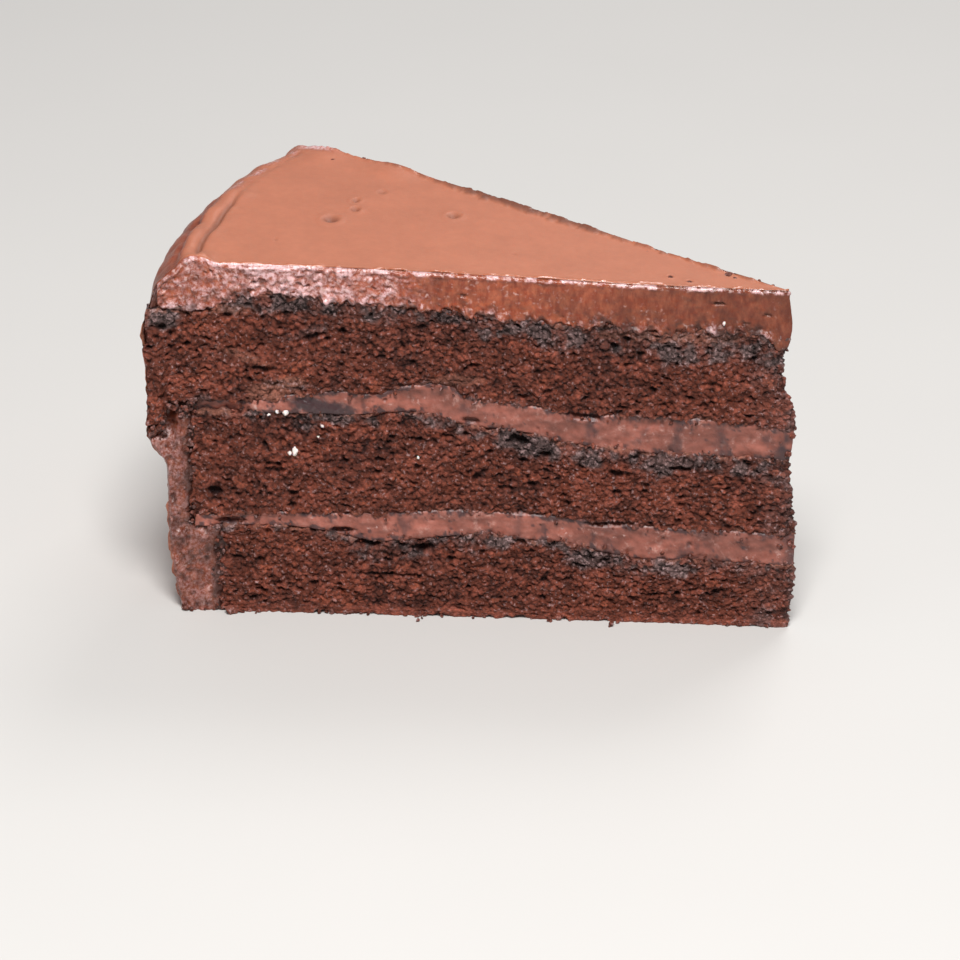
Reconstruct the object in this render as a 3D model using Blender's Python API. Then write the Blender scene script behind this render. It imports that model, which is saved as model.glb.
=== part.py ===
"""Slice of a three-layer chocolate cake, standing on its base.

The slice is a wedge with its tip towards +X and the iced rim towards -X.  Six
pieces are built: three sponge layers, two fillings between them, and one coat
of icing that covers the top and turns down over the curved rim.  Every piece
is a block of cells on a lattice that runs from tip to rim, from the front cut
to the back cut and from the bottom to the top.  Neighbouring pieces share the
same uneven boundary, so the joint between them is the same everywhere.
"""
import math

import bmesh
import bpy
import numpy as np

MM = 0.001

# Slice as a whole, millimetres and degrees
WEDGE_ANGLE = 33.0            # about an eleventh of a round cake
RIM_RADIUS = 118.0            # tip to the outside of the icing
JOINT_GAP = 0.3               # clear space between touching pieces
TIP_START = 1.5               # the tip is blunt from here
LATERAL_CELLS = 10            # cells from the front cut to the back cut

# Ends of the pieces, measured from the tip
TOP_SPONGE_END = 116.3        # the top layer runs almost to the rim
MIDDLE_END = 109.8            # middle sponge and both fillings
BOTTOM_SPONGE_END = 104.6

# Levels of the joints on the front cut: (distance from the tip, height)
UNDER_ICING = (
    (0.0, 60.2), (14.0, 61.2), (22.0, 60.3), (31.0, 61.5), (42.0, 61.3),
    (54.0, 62.7), (66.0, 63.6), (83.0, 65.3), (91.0, 65.9), (103.0, 65.7),
    (106.0, 62.6), (120.0, 62.0),
)
UPPER_FILLING_TOP = (
    (0.0, 40.9), (11.0, 42.1), (28.0, 42.9), (35.0, 42.2), (42.0, 43.4),
    (51.0, 44.6), (58.0, 45.3), (63.0, 48.4), (70.0, 47.6), (76.0, 45.4),
    (83.0, 46.2), (90.0, 45.4), (99.0, 43.6), (120.0, 43.0),
)
UPPER_FILLING_BOTTOM = (
    (0.0, 35.2), (22.0, 35.5), (32.0, 36.3), (42.0, 37.6), (47.0, 39.3),
    (60.0, 40.3), (64.0, 42.4), (71.0, 42.9), (78.0, 42.1), (89.0, 42.1),
    (99.0, 42.1), (120.0, 41.5),
)
LOWER_FILLING_TOP = (
    (0.0, 19.0), (15.0, 19.7), (26.0, 19.8), (41.0, 21.4), (53.0, 21.9),
    (60.0, 22.4), (68.0, 21.6), (77.0, 21.0), (86.0, 20.9), (94.0, 20.9),
    (104.0, 20.0), (120.0, 19.7),
)
LOWER_FILLING_BOTTOM = (
    (0.0, 13.3), (15.0, 13.8), (26.0, 13.2), (41.0, 16.8), (52.0, 17.3),
    (60.0, 17.8), (68.0, 16.5), (77.0, 15.8), (86.0, 18.0), (94.0, 18.9),
    (104.0, 18.3), (120.0, 18.0),
)

# Top of the icing, which falls a little towards the tip
TOP_LEVEL = (
    (0.0, 69.0), (20.0, 69.3), (40.0, 70.0), (60.0, 70.7), (80.0, 71.3),
    (100.0, 71.6), (120.0, 71.6),
)

# The joints wander differently towards the back cut
BACK_WAVE_HEIGHT = 0.7
BACK_WAVE_LENGTH = 43.0

# Lean and bulge of the tip: (height, how far it stands out along X)
TIP_PROFILE = (
    (0.0, 4.0), (5.0, 4.4), (20.0, 4.6), (27.0, 3.8), (32.0, 2.4),
    (39.0, 3.2), (44.0, 3.5), (48.0, 1.3), (53.0, 0.0), (57.0, 1.0),
    (61.0, 2.0), (66.0, 1.2), (70.0, 0.8),
)
TIP_REACH = 16.0              # how quickly the lean dies away from the tip

# Outside of the icing at the rim: (height, radius less RIM_RADIUS)
RIM_PROFILE = (
    (0.0, -5.6), (4.0, -4.7), (15.0, -3.4), (31.0, -3.0), (35.5, 0.4),
    (40.0, -0.1), (48.0, 0.6), (57.0, 0.8), (64.5, -0.6),
)
RIM_TOP_RING = 64.5           # height of the last ring of the rounded rim
RIM_FLAT_FROM = 107.0         # the top starts to turn down here
RIM_GROOVE_AT = 109.2
RIM_GROOVE_DEPTH = 0.6
RIM_GROOVE_WIDTH = 1.6
RIM_CORNER_DROP = 5.0         # from the flat top to the last ring

# How far each piece stands out of the cuts
SPONGE_PROUD = 0.35
FILLING_PROUD = 0.1
ICING_PROUD = 0.25

# Rings of the lattice, measured from the tip
INNER_RINGS = (
    TIP_START, 4.0, 8.0, 13.0, 18.0, 23.0, 28.0, 33.0, 38.0, 43.0, 48.0,
    53.0, 58.0, 63.0, 68.0, 73.0, 78.0, 83.0, 88.0, 93.0, 98.0, 103.0,
)
BOTTOM_RINGS = INNER_RINGS + (BOTTOM_SPONGE_END,)
MIDDLE_RINGS = INNER_RINGS + (BOTTOM_SPONGE_END, 107.2, MIDDLE_END)
TOP_RINGS = INNER_RINGS + (
    BOTTOM_SPONGE_END, 106.4, 109.2, 111.4, 113.4, 115.0, TOP_SPONGE_END,
)

COLOURS = {
    "sponge": (0.105, 0.038, 0.028),
    "filling": (0.318, 0.120, 0.090),
    "icing": (0.360, 0.130, 0.085),
}


def along(table, place_in):
    """Value of a two-column table at a place between its rows."""
    return float(np.interp(place_in, [row[0] for row in table], [row[1] for row in table]))


def level(table, ring, across):
    """Height of a joint at a distance from the tip and a place across."""
    heights = [row[1] for row in table]
    front = along(table, ring)
    middle = sum(heights) / len(heights)
    calm = float(np.interp(ring, (0.0, 60.0, 120.0), (heights[0], middle, heights[-1])))
    phase = 2.0 * math.pi * ring / BACK_WAVE_LENGTH + 0.05 * sum(heights)
    back = calm + BACK_WAVE_HEIGHT * math.sin(phase)
    blend = across * across * (3.0 - 2.0 * across)
    return front + (back - front) * blend


def tip_shift(height):
    """How far the tip stands out at a height."""
    return along(TIP_PROFILE, height)


def rim_radius(height):
    """Radius of the outside of the icing at a height."""
    return RIM_RADIUS + along(RIM_PROFILE, height)


def top_height(ring):
    """Height of the top of the icing, with the spatula's groove and the rounded rim."""
    turn = max(0.0, ring - RIM_FLAT_FROM) / (TOP_SPONGE_END - RIM_FLAT_FROM)
    groove = RIM_GROOVE_DEPTH * math.exp(-((ring - RIM_GROOVE_AT) / RIM_GROOVE_WIDTH) ** 2)
    return along(TOP_LEVEL, ring) - RIM_CORNER_DROP * turn ** 2.4 - groove


def place(ring, across, height, proud):
    """Point of the slice, in millimetres, from distance, place across and height."""
    angle = math.radians(WEDGE_ANGLE) * (across - 0.5)
    x = -ring * math.cos(angle) + tip_shift(height) * math.exp(-ring / TIP_REACH)
    y = ring * math.sin(angle) + proud * (2.0 * across - 1.0)
    return (x, y, height)


def solid_from_cells(name, cells, point, material):
    """Closed solid whose skin is the outside of a set of lattice cells."""
    mesh = bmesh.new()
    made = {}

    def vert(node):
        if node not in made:
            made[node] = mesh.verts.new([value * MM for value in point(*node)])
        return made[node]

    for i, j, k in sorted(cells):
        for axis in range(3):
            for side in (0, 1):
                step = [0, 0, 0]
                step[axis] = 1 if side else -1
                if (i + step[0], j + step[1], k + step[2]) in cells:
                    continue
                one, two = [a for a in range(3) if a != axis]
                corners = []
                for a, b in ((0, 0), (1, 0), (1, 1), (0, 1)):
                    node = [i, j, k]
                    node[axis] += side
                    node[one] += a
                    node[two] += b
                    corners.append(vert(tuple(node)))
                mesh.faces.new((corners[0], corners[1], corners[2]))
                mesh.faces.new((corners[0], corners[2], corners[3]))
    bmesh.ops.recalc_face_normals(mesh, faces=mesh.faces)
    data = bpy.data.meshes.new(name)
    mesh.to_mesh(data)
    mesh.free()
    data.materials.append(material)
    solid = bpy.data.objects.new(name, data)
    bpy.context.scene.collection.objects.link(solid)
    return solid


def layer(name, rings, rows, under, over, proud, material):
    """Sponge layer or filling between two joints; None as under is the flat base."""
    cells = {
        (i, j, k)
        for i in range(len(rings) - 1)
        for j in range(LATERAL_CELLS)
        for k in range(rows)
    }

    def point(i, j, k):
        ring = rings[i]
        across = j / LATERAL_CELLS
        bottom = 0.0 if under is None else level(under, ring, across) + JOINT_GAP / 2
        top = level(over, ring, across) - JOINT_GAP / 2
        return place(ring, across, bottom + (top - bottom) * k / rows, proud)

    return solid_from_cells(name, cells, point, material)


def icing_coat(name, material):
    """Icing over the top that turns down over the curved rim to the base."""
    last = len(TOP_RINGS) - 1
    half = JOINT_GAP / 2

    def wall_rows(across):
        """Rows of the wall as (inside ring, inside height, outside height)."""
        step_in = level(LOWER_FILLING_BOTTOM, BOTTOM_SPONGE_END, across) - half
        step_out = level(LOWER_FILLING_BOTTOM, MIDDLE_END, across) - half
        shelf_in = level(UPPER_FILLING_TOP, MIDDLE_END, across) - half
        shelf_out = level(UPPER_FILLING_TOP, TOP_SPONGE_END, across) - half
        wide = TOP_SPONGE_END + JOINT_GAP
        mid = MIDDLE_END + JOINT_GAP
        narrow = BOTTOM_SPONGE_END + JOINT_GAP
        under = level(UNDER_ICING, TOP_SPONGE_END, across) + half
        return (
            (narrow, 0.0, 0.0), (narrow, 6.0, 4.0), (narrow, 12.0, 10.0),
            (narrow, step_in, 15.0), (mid, step_out, 20.0), (mid, 27.0, 26.0),
            (mid, 34.0, 32.0), (mid, shelf_in, 36.0), (wide, shelf_out, 42.0),
            (wide, 51.0, 50.0), (wide, under, 57.0),
        )

    rows = len(wall_rows(0.0))
    cells = set()
    for j in range(LATERAL_CELLS):
        for i in range(last + 1):
            cells.add((i, j, rows - 1))
        for k in range(rows - 1):
            cells.add((last, j, k))

    def point(i, j, k):
        across = j / LATERAL_CELLS
        if k == rows:
            if i == last + 1:
                return place(rim_radius(RIM_TOP_RING), across, RIM_TOP_RING, ICING_PROUD)
            return place(TOP_RINGS[i], across, top_height(TOP_RINGS[i]), ICING_PROUD)
        ring, inside, outside = wall_rows(across)[k]
        if i == last + 1:
            return place(rim_radius(outside), across, outside, ICING_PROUD)
        if i == last:
            return place(ring, across, inside, ICING_PROUD)
        ring = TOP_RINGS[i]
        return place(ring, across, level(UNDER_ICING, ring, across) + half, ICING_PROUD)

    return solid_from_cells(name, cells, point, material)


def finish(name):
    """Plain finish for one substance."""
    made = bpy.data.materials.new(name)
    made.use_nodes = True
    shader = made.node_tree.nodes["Principled BSDF"]
    shader.inputs["Base Color"].default_value = (*COLOURS[name], 1.0)
    shader.inputs["Roughness"].default_value = 0.75 if name == "sponge" else 0.45
    shader.inputs["Metallic"].default_value = 0.0
    made.diffuse_color = (*COLOURS[name], 1.0)
    return made


def centre_on_base(solids):
    """Move everything so the origin is under the middle of the slice."""
    corners = np.array([vert.co[:] for solid in solids for vert in solid.data.vertices])
    low, high = corners.min(axis=0), corners.max(axis=0)
    shift = ((low[0] + high[0]) / 2, (low[1] + high[1]) / 2, low[2])
    for solid in solids:
        for vert in solid.data.vertices:
            vert.co = [vert.co[axis] - shift[axis] for axis in range(3)]
        solid.data.update()


def main():
    """Build the six pieces."""
    for leftover in list(bpy.data.objects):
        bpy.data.objects.remove(leftover, do_unlink=True)
    sponge = finish("sponge")
    filling = finish("filling")
    icing = finish("icing")
    solids = [
        layer("sponge_bottom", BOTTOM_RINGS, 3, None, LOWER_FILLING_BOTTOM, SPONGE_PROUD, sponge),
        layer("filling_lower", MIDDLE_RINGS, 1, LOWER_FILLING_BOTTOM, LOWER_FILLING_TOP,
              FILLING_PROUD, filling),
        layer("sponge_middle", MIDDLE_RINGS, 3, LOWER_FILLING_TOP, UPPER_FILLING_BOTTOM,
              SPONGE_PROUD, sponge),
        layer("filling_upper", MIDDLE_RINGS, 1, UPPER_FILLING_BOTTOM, UPPER_FILLING_TOP,
              FILLING_PROUD, filling),
        layer("sponge_top", TOP_RINGS, 3, UPPER_FILLING_TOP, UNDER_ICING, SPONGE_PROUD, sponge),
        icing_coat("icing", icing),
    ]
    centre_on_base(solids)


main()
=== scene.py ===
"""Slice of three-layer chocolate cake: visual model, studio light and camera.

The slice stands on its base with its tip towards +X and its iced rim towards
-X. Sizes inside the classes are in millimetres and are turned into metres
only when a mesh is made. Every piece is lofted from the tip to the rim out of
closed sections, and its relief (crumb, pores, knife drag, spatula marks) is
real mesh.

Places on the slice are given as a ring (distance from the apex, where the two
cuts would meet), a place across (0 at the front cut, 1 at the back one) and a
height above the base.
"""

import logging
import math
from dataclasses import dataclass
from enum import Enum

import bmesh
import bpy
import numpy as np
from mathutils import Euler, Matrix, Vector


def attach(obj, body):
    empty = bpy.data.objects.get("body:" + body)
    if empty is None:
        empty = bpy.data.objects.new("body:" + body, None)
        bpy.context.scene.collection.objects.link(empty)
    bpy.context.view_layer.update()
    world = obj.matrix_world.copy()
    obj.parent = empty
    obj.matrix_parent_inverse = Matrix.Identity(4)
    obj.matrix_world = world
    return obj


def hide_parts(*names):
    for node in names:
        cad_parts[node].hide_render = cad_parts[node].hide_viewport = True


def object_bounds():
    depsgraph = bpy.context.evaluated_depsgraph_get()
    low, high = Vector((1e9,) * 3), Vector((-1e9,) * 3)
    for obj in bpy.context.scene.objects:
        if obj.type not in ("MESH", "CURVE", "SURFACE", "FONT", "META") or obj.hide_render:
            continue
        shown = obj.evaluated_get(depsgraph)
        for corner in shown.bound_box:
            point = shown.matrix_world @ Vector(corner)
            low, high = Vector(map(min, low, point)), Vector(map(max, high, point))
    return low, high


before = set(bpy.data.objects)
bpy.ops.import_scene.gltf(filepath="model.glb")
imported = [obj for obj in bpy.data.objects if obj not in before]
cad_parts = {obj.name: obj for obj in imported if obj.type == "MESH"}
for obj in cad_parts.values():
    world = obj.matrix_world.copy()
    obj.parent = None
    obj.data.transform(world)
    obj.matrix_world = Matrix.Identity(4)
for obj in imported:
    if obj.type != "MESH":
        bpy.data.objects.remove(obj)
CAD_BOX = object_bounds()

LOG = logging.getLogger("cake")
MM = 0.001
SEED = 4127

Array = np.ndarray
Table = tuple[tuple[float, float], ...]
Marks = dict[str, Array | float]


# --- Small helpers ---------------------------------------------------------


def linear(code: str) -> tuple[float, float, float, float]:
    """Turn an sRGB hex code into scene-linear colour.

    Args:
        code: Colour such as "#5A332A".

    Returns:
        Red, green, blue and an alpha of 1.
    """
    parts = [int(code[k:k + 2], 16) / 255.0 for k in (1, 3, 5)]
    light = [c / 12.92 if c <= 0.04045 else ((c + 0.055) / 1.055) ** 2.4 for c in parts]
    return light[0], light[1], light[2], 1.0


def ease(low: float, high: float, value: Array | float) -> Array:
    """Smooth step from 0 at low to 1 at high, which may be below low."""
    t = np.clip((value - low) / (high - low), 0.0, 1.0)
    return t * t * (3.0 - 2.0 * t)


def bell(value: Array, middle: float, width: Array | float, power: int = 2) -> Array:
    """Bump that is 1 at the middle and fades over the width, flatter on top for a higher power."""
    return np.exp(-np.abs((value - middle) / width) ** power)


def dome(away: Array, radius: float) -> Array:
    """Rounded lump: 1 at its middle, 0 at the radius and no lower than -1 past it."""
    return (1.0 - (away / radius) ** 2).clip(-1.0, 1.0)


def along(table: Table, place: Array | float) -> Array:
    """Read a table of (place, value) between its rows."""
    return np.interp(place, [row[0] for row in table], [row[1] for row in table])


def smoothly(table: Table, blur: float, place: Array | float, step: float = 0.5) -> Array:
    """Read a table of (place, value) with its corners rounded.

    Args:
        table: Rows of (place, value), places rising.
        blur: Width of the rounding, in the units of place.
        place: Where to read it.
        step: Spacing at which the rounding is worked out.

    Returns:
        Values at those places.
    """
    places = np.arange(table[0][0] - 4 * blur, table[-1][0] + 4 * blur, step)
    reach = np.arange(-4 * blur, 4 * blur + step / 2, step)
    weights = np.exp(-0.5 * (reach / blur) ** 2)
    padded = np.pad(along(table, places), len(reach) // 2, mode="edge")
    values = np.convolve(padded, weights / weights.sum(), "valid")
    return np.interp(place, places, values[:len(places)])


# --- Noise, evaluated in the slice's own space -----------------------------

# Turn that keeps the lattice of the noise off the slice's own directions.
TURN = np.array(((0.36, 0.48, -0.80), (-0.80, 0.60, 0.0), (0.48, 0.64, 0.60)))
# Sizes of lumps partly cancel each other out; this brings their mean back to about -1 to 1.
REGAIN = 1.6


def scrambled(cell: Array, seed: int) -> Array:
    """Give every lattice cell its own number.

    Args:
        cell: Whole-number cells, shape (..., 3).
        seed: Which set of numbers.

    Returns:
        Numbers from 0 to 1.
    """
    c = cell.astype(np.int64).astype(np.uint32)
    h = (c[..., 0] * np.uint32(0x8DA6B343)) ^ (c[..., 1] * np.uint32(0xD8163841))
    h ^= (c[..., 2] * np.uint32(0xCB1AB31F)) ^ np.uint32((seed * 0x9E3779B1) & 0xFFFFFFFF)
    for shift, factor in ((15, 0x2C1B3C6D), (12, 0x297A2D39)):
        h ^= h >> np.uint32(shift)
        h *= np.uint32(factor)
    h ^= h >> np.uint32(15)
    return h.astype(np.float64) / 4294967295.0


def swell(points: Array, size: float, seed: int) -> Array:
    """Soft noise with lumps of one size.

    Args:
        points: Positions in millimetres, shape (..., 3).
        size: Size of a lump in millimetres.
        seed: Which noise.

    Returns:
        Values from about -1 to 1.
    """
    q = (points @ TURN.T) / size + seed * 0.37
    base = np.floor(q)
    f = q - base
    f = f * f * f * (f * (f * 6.0 - 15.0) + 10.0)
    total = np.zeros(q.shape[:-1])
    for corner in range(8):
        step = np.array((corner & 1, corner >> 1 & 1, corner >> 2 & 1))
        weight = np.prod(np.where(step == 1, f, 1.0 - f), axis=-1)
        total += weight * scrambled(base + step, seed)
    return total * 2.0 - 1.0


def rough(points: Array, size: float, seed: int, octaves: int = 3, keep: float = 0.5) -> Array:
    """Noise with finer lumps on coarser ones.

    Args:
        points: Positions in millimetres, shape (..., 3).
        size: Size of the coarsest lump.
        seed: Which noise.
        octaves: How many sizes, each half the last.
        keep: Height of each size against the last.

    Returns:
        Values from about -1 to 1.
    """
    total, height, whole = np.zeros(points.shape[:-1]), 1.0, 0.0
    for octave in range(octaves):
        total += height * swell(points, size * 0.5 ** octave, seed + 17 * octave)
        whole += height
        height *= keep
    return total / whole * REGAIN


def grains(points: Array, size: float, seed: int) -> tuple[Array, Array, Array]:
    """Pack space with irregular grains.

    Args:
        points: Positions in millimetres, shape (..., 3).
        size: Spacing of the grains.
        seed: Which packing.

    Returns:
        Distance to the nearest grain's middle and to the next one, both in
        grain sizes, and the nearest grain's own number from 0 to 1.
    """
    q = points / size + seed * 0.61
    base = np.floor(q)
    near = np.full(q.shape[:-1], 9.0)
    second = near.copy()
    own = np.zeros_like(near)
    for dx in (-1, 0, 1):
        for dy in (-1, 0, 1):
            for dz in (-1, 0, 1):
                cell = base + np.array((dx, dy, dz))
                away = np.zeros_like(near)
                for axis in range(3):
                    spot = cell[..., axis] + scrambled(cell, seed + 31 * axis)
                    away += (spot - q[..., axis]) ** 2
                closer = away < near
                second = np.where(closer, near, np.minimum(second, away))
                own = np.where(closer, scrambled(cell, seed + 101), own)
                near = np.where(closer, away, near)
    return np.sqrt(near), np.sqrt(second), own


def stretched(points: Array, level: float, upright: float) -> Array:
    """Scale positions, so that noise read there is drawn out along the smaller factor."""
    return points * np.array((level, level, upright))


@dataclass(frozen=True)
class Ground:
    """Points of a surface, and the noise that belongs to it."""

    points: Array
    seed: int

    def noise(self, size: float, number: int, octaves: int = 3, keep: float = 0.5, level: float = 1.0,
              upright: float = 1.0) -> Array:
        """One of the surface's noises; a level or upright below 1 draws its lumps out that way."""
        return rough(stretched(self.points, level, upright), size, self.seed + number, octaves, keep)

    def grains(self, size: float, number: int, level: float = 1.0,
               upright: float = 1.0) -> tuple[Array, Array, Array]:
        """One of the surface's packings of grains, drawn out in the same way."""
        return grains(stretched(self.points, level, upright), size, self.seed + number)


# --- Shape of the slice ----------------------------------------------------


class Cut(Enum):
    """The two knife cuts, by their place across the wedge."""

    FRONT = 0.0
    BACK = 1.0

    @property
    def side(self) -> float:
        """Way that the cut faces along Y: -1 for the front one, 1 for the back one."""
        return 2.0 * self.value - 1.0


@dataclass(frozen=True)
class SliceShape:
    """Sizes that all the pieces share, in millimetres and degrees."""

    wedge_angle: float = 33.0
    rim_radius: float = 118.0
    # Rings at which the pieces stop inside the rim.
    top_sponge_end: float = 116.3
    middle_end: float = 109.8
    bottom_sponge_end: float = 104.6
    # The tip: the ring that touches the frame's box, the distance over which its lean fades, the
    # ring at which it starts and the distance over which it rounds out to the cuts.
    tip_start: float = 1.5
    tip_reach: float = 16.0
    blunt: float = 1.35
    nose: float = 2.2
    # First, last and spacing of the sections round the blunt tip, out from where it starts.
    tip_sections: tuple[float, float, float] = (0.04, 2.3, 0.13)
    # How much the corners of the tables below are rounded.
    joint_rounding: float = 1.4
    tip_rounding: float = 1.2
    rim_rounding: float = 0.8
    top_rounding: float = 5.0
    back_wave_height: float = 0.7
    back_wave_length: float = 43.0
    # Heights along the front cut, by ring.
    under_icing: Table = (
        (0.0, 60.2), (14.0, 61.2), (22.0, 60.3), (31.0, 61.5), (42.0, 61.3),
        (54.0, 62.7), (66.0, 63.6), (83.0, 65.3), (91.0, 65.9), (103.0, 65.7),
        (106.0, 62.6), (120.0, 62.0),
    )
    upper_filling_top: Table = (
        (0.0, 40.9), (11.0, 42.1), (28.0, 42.9), (35.0, 42.2), (42.0, 43.4),
        (51.0, 44.6), (58.0, 45.3), (63.0, 48.4), (70.0, 47.6), (76.0, 45.4),
        (83.0, 46.2), (90.0, 45.4), (99.0, 43.6), (120.0, 43.0),
    )
    upper_filling_bottom: Table = (
        (0.0, 35.2), (22.0, 35.5), (32.0, 36.3), (42.0, 37.6), (47.0, 39.3),
        (60.0, 40.3), (64.0, 42.4), (71.0, 42.9), (78.0, 42.1), (89.0, 42.1),
        (99.0, 42.1), (120.0, 41.5),
    )
    lower_filling_top: Table = (
        (0.0, 19.0), (15.0, 19.7), (26.0, 19.8), (41.0, 21.4), (53.0, 21.9),
        (60.0, 22.4), (68.0, 21.6), (77.0, 21.0), (86.0, 20.9), (94.0, 20.9),
        (104.0, 20.0), (120.0, 19.7),
    )
    lower_filling_bottom: Table = (
        (0.0, 13.3), (15.0, 13.8), (26.0, 13.2), (41.0, 16.8), (52.0, 17.3),
        (60.0, 17.8), (68.0, 16.5), (77.0, 15.8), (86.0, 18.0), (94.0, 18.9),
        (104.0, 18.3), (120.0, 18.0),
    )
    top_level: Table = (
        (0.0, 69.0), (20.0, 69.3), (40.0, 70.0), (60.0, 70.7), (80.0, 71.3),
        (100.0, 71.6), (120.0, 71.6),
    )
    # Lean of the tip and bulge of the rim, by height.
    tip_profile: Table = (
        (0.0, 4.0), (5.0, 4.4), (20.0, 4.6), (27.0, 3.8), (32.0, 2.4),
        (39.0, 3.2), (44.0, 3.5), (48.0, 1.3), (53.0, 0.0), (57.0, 1.0),
        (61.0, 2.0), (66.0, 1.2), (70.0, 0.8),
    )
    rim_profile: Table = (
        (0.0, -5.6), (4.0, -4.7), (15.0, -3.4), (31.0, -3.0), (35.5, 0.4),
        (40.0, -0.1), (48.0, 0.6), (57.0, 0.8), (64.5, -0.6), (66.8, -1.7),
    )

    @property
    def apex(self) -> float:
        """X of the point where the two cuts would meet.

        Returns:
            X in millimetres, found from the frame's box and the tip's lean.
        """
        half = math.radians(self.wedge_angle / 2)
        lean = max(value for _, value in self.tip_profile)
        reach = lean * math.exp(-self.tip_start / self.tip_reach)
        return CAD_BOX[1][0] / MM - reach + self.tip_start * math.cos(half)

    def bearing(self, across: Array | float) -> Array | float:
        """Angle of a place across the wedge from its middle line, in radians."""
        return math.radians(self.wedge_angle) * (across - 0.5)

    def arc(self, ring: Array) -> Array:
        """Width from cut to cut at a ring."""
        return ring * math.radians(self.wedge_angle)

    def slim(self, ring: Array) -> Array:
        """Share of its relief that a cut keeps, from 0.3 at the thin tip to 1."""
        return np.clip(0.3 + (ring - self.blunt) / 7.0, 0.0, 1.0)

    def rim(self, height: Array | float) -> Array:
        """Radius of the outside of the icing at a height."""
        return self.rim_radius + smoothly(self.rim_profile, self.rim_rounding, height, 0.25)

    def top(self, ring: Array | float) -> Array:
        """Height of the top at a ring, before its marks and its turn over the rim."""
        return smoothly(self.top_level, self.top_rounding, ring)

    def level(self, table: Table, ring: Array, across: Array) -> Array:
        """Height of a joint between two pieces.

        Args:
            table: The joint's heights on the front cut.
            ring: Distance from the apex.
            across: Place across the wedge; the joint is calmer towards the back cut.

        Returns:
            Heights in millimetres.
        """
        heights = [row[1] for row in table]
        front = smoothly(table, self.joint_rounding, ring)
        # The back cut keeps the joint's first, mean and last heights, and has waves of its own.
        calm = np.interp(ring, (0.0, 60.0, 120.0), (heights[0], sum(heights) / len(heights), heights[-1]))
        phase = 2.0 * math.pi * ring / self.back_wave_length + 0.05 * sum(heights)
        back = calm + self.back_wave_height * np.sin(phase)
        return front + (back - front) * across * across * (3.0 - 2.0 * across)

    def place(self, ring: Array, across: Array, height: Array) -> Array:
        """Point of the slice from polar measures.

        Args:
            ring: Distance from the apex.
            across: Place across the wedge.
            height: Height above the base.

        Returns:
            Positions in millimetres, shape (..., 3).
        """
        ring, across, height = np.broadcast_arrays(ring, across, height)
        angle = self.bearing(across)
        to_nose = np.clip(1.0 - (ring - self.blunt) / self.nose, 0.0, 1.0)
        width = np.sqrt(np.clip(1.0 - to_nose ** 2, 0.0, 1.0))
        lean = smoothly(self.tip_profile, self.tip_rounding, height) * np.exp(-ring / self.tip_reach)
        x = self.apex - ring * np.cos(angle) + lean
        y = ring * np.sin(angle) * width
        return np.stack((x, y, height), axis=-1)

    def outward(self, ring: Array, cut: Cut) -> Array:
        """Direction out of a cut, turning round the blunt tip.

        Args:
            ring: Distance from the apex.
            cut: Which cut.

        Returns:
            Unit directions, shape (..., 3).
        """
        half = math.radians(self.wedge_angle / 2)
        turn = np.clip(1.0 - (ring - self.blunt) / (self.nose * 1.3), 0.0, 1.0) ** 1.5
        x = math.sin(half) * (1.0 - turn) + turn
        y = cut.side * math.cos(half) * (1.0 - turn)
        size = np.hypot(x, y)
        return np.stack((x / size, y / size, np.zeros_like(x)), axis=-1)

    def along_cut(self, cut: Cut) -> Array:
        """Unit direction along a cut from the tip to the rim."""
        half = math.radians(self.wedge_angle / 2)
        return np.array((-math.cos(half), cut.side * math.sin(half), 0.0))

    def stations(self, end: float, step: float) -> Array:
        """Rings at which a piece gets a section: closer together round the tip, then a step apart."""
        near = self.blunt + np.arange(*self.tip_sections)
        return np.concatenate((near, np.arange(near[-1] + step, end - 0.3 * step, step), [end]))


SLICE = SliceShape()


# --- Mesh making -----------------------------------------------------------


def make_piece(name: str, points: Array, corners: Array, starts: Array,
               marks: dict[str, Array], material: bpy.types.Material) -> bpy.types.Object:
    """Make a mesh object and link it to the scene.

    Args:
        name: Name of the piece.
        points: Positions in millimetres, shape (..., 3).
        corners: Vertex numbers of the faces, one face after the other.
        starts: Where each face starts among them.
        marks: What the finish reads at the vertices.
        material: Finish of the whole piece.

    Returns:
        The new object.
    """
    mesh = bpy.data.meshes.new(name)
    mesh.vertices.add(points.size // 3)
    mesh.vertices.foreach_set("co", (points * MM).astype(np.float32).ravel())
    mesh.loops.add(len(corners))
    mesh.loops.foreach_set("vertex_index", corners.astype(np.int32))
    mesh.polygons.add(len(starts))
    mesh.polygons.foreach_set("loop_start", starts.astype(np.int32))
    mesh.update(calc_edges=True)
    mesh.validate()
    mesh.shade_smooth()
    for mark, values in marks.items():
        attribute = mesh.attributes.new(mark, "FLOAT", "POINT")
        attribute.data.foreach_set("value", values.astype(np.float32).ravel())
    mesh.materials.append(material)
    piece = bpy.data.objects.new(name, mesh)
    bpy.context.scene.collection.objects.link(piece)
    return piece


@dataclass(frozen=True)
class Strip:
    """Part of a skin, and what its finish reads there: one number, or one for each point."""

    points: Array
    marks: Marks

    def mark(self, name: str) -> Array:
        """One mark at every point."""
        return np.broadcast_to(self.marks[name], self.points.shape[:2])

    def turned(self) -> "Strip":
        """The same strip with its points the other way round."""
        return Strip(self.points[:, ::-1], {name: self.mark(name)[:, ::-1] for name in self.marks})


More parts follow.
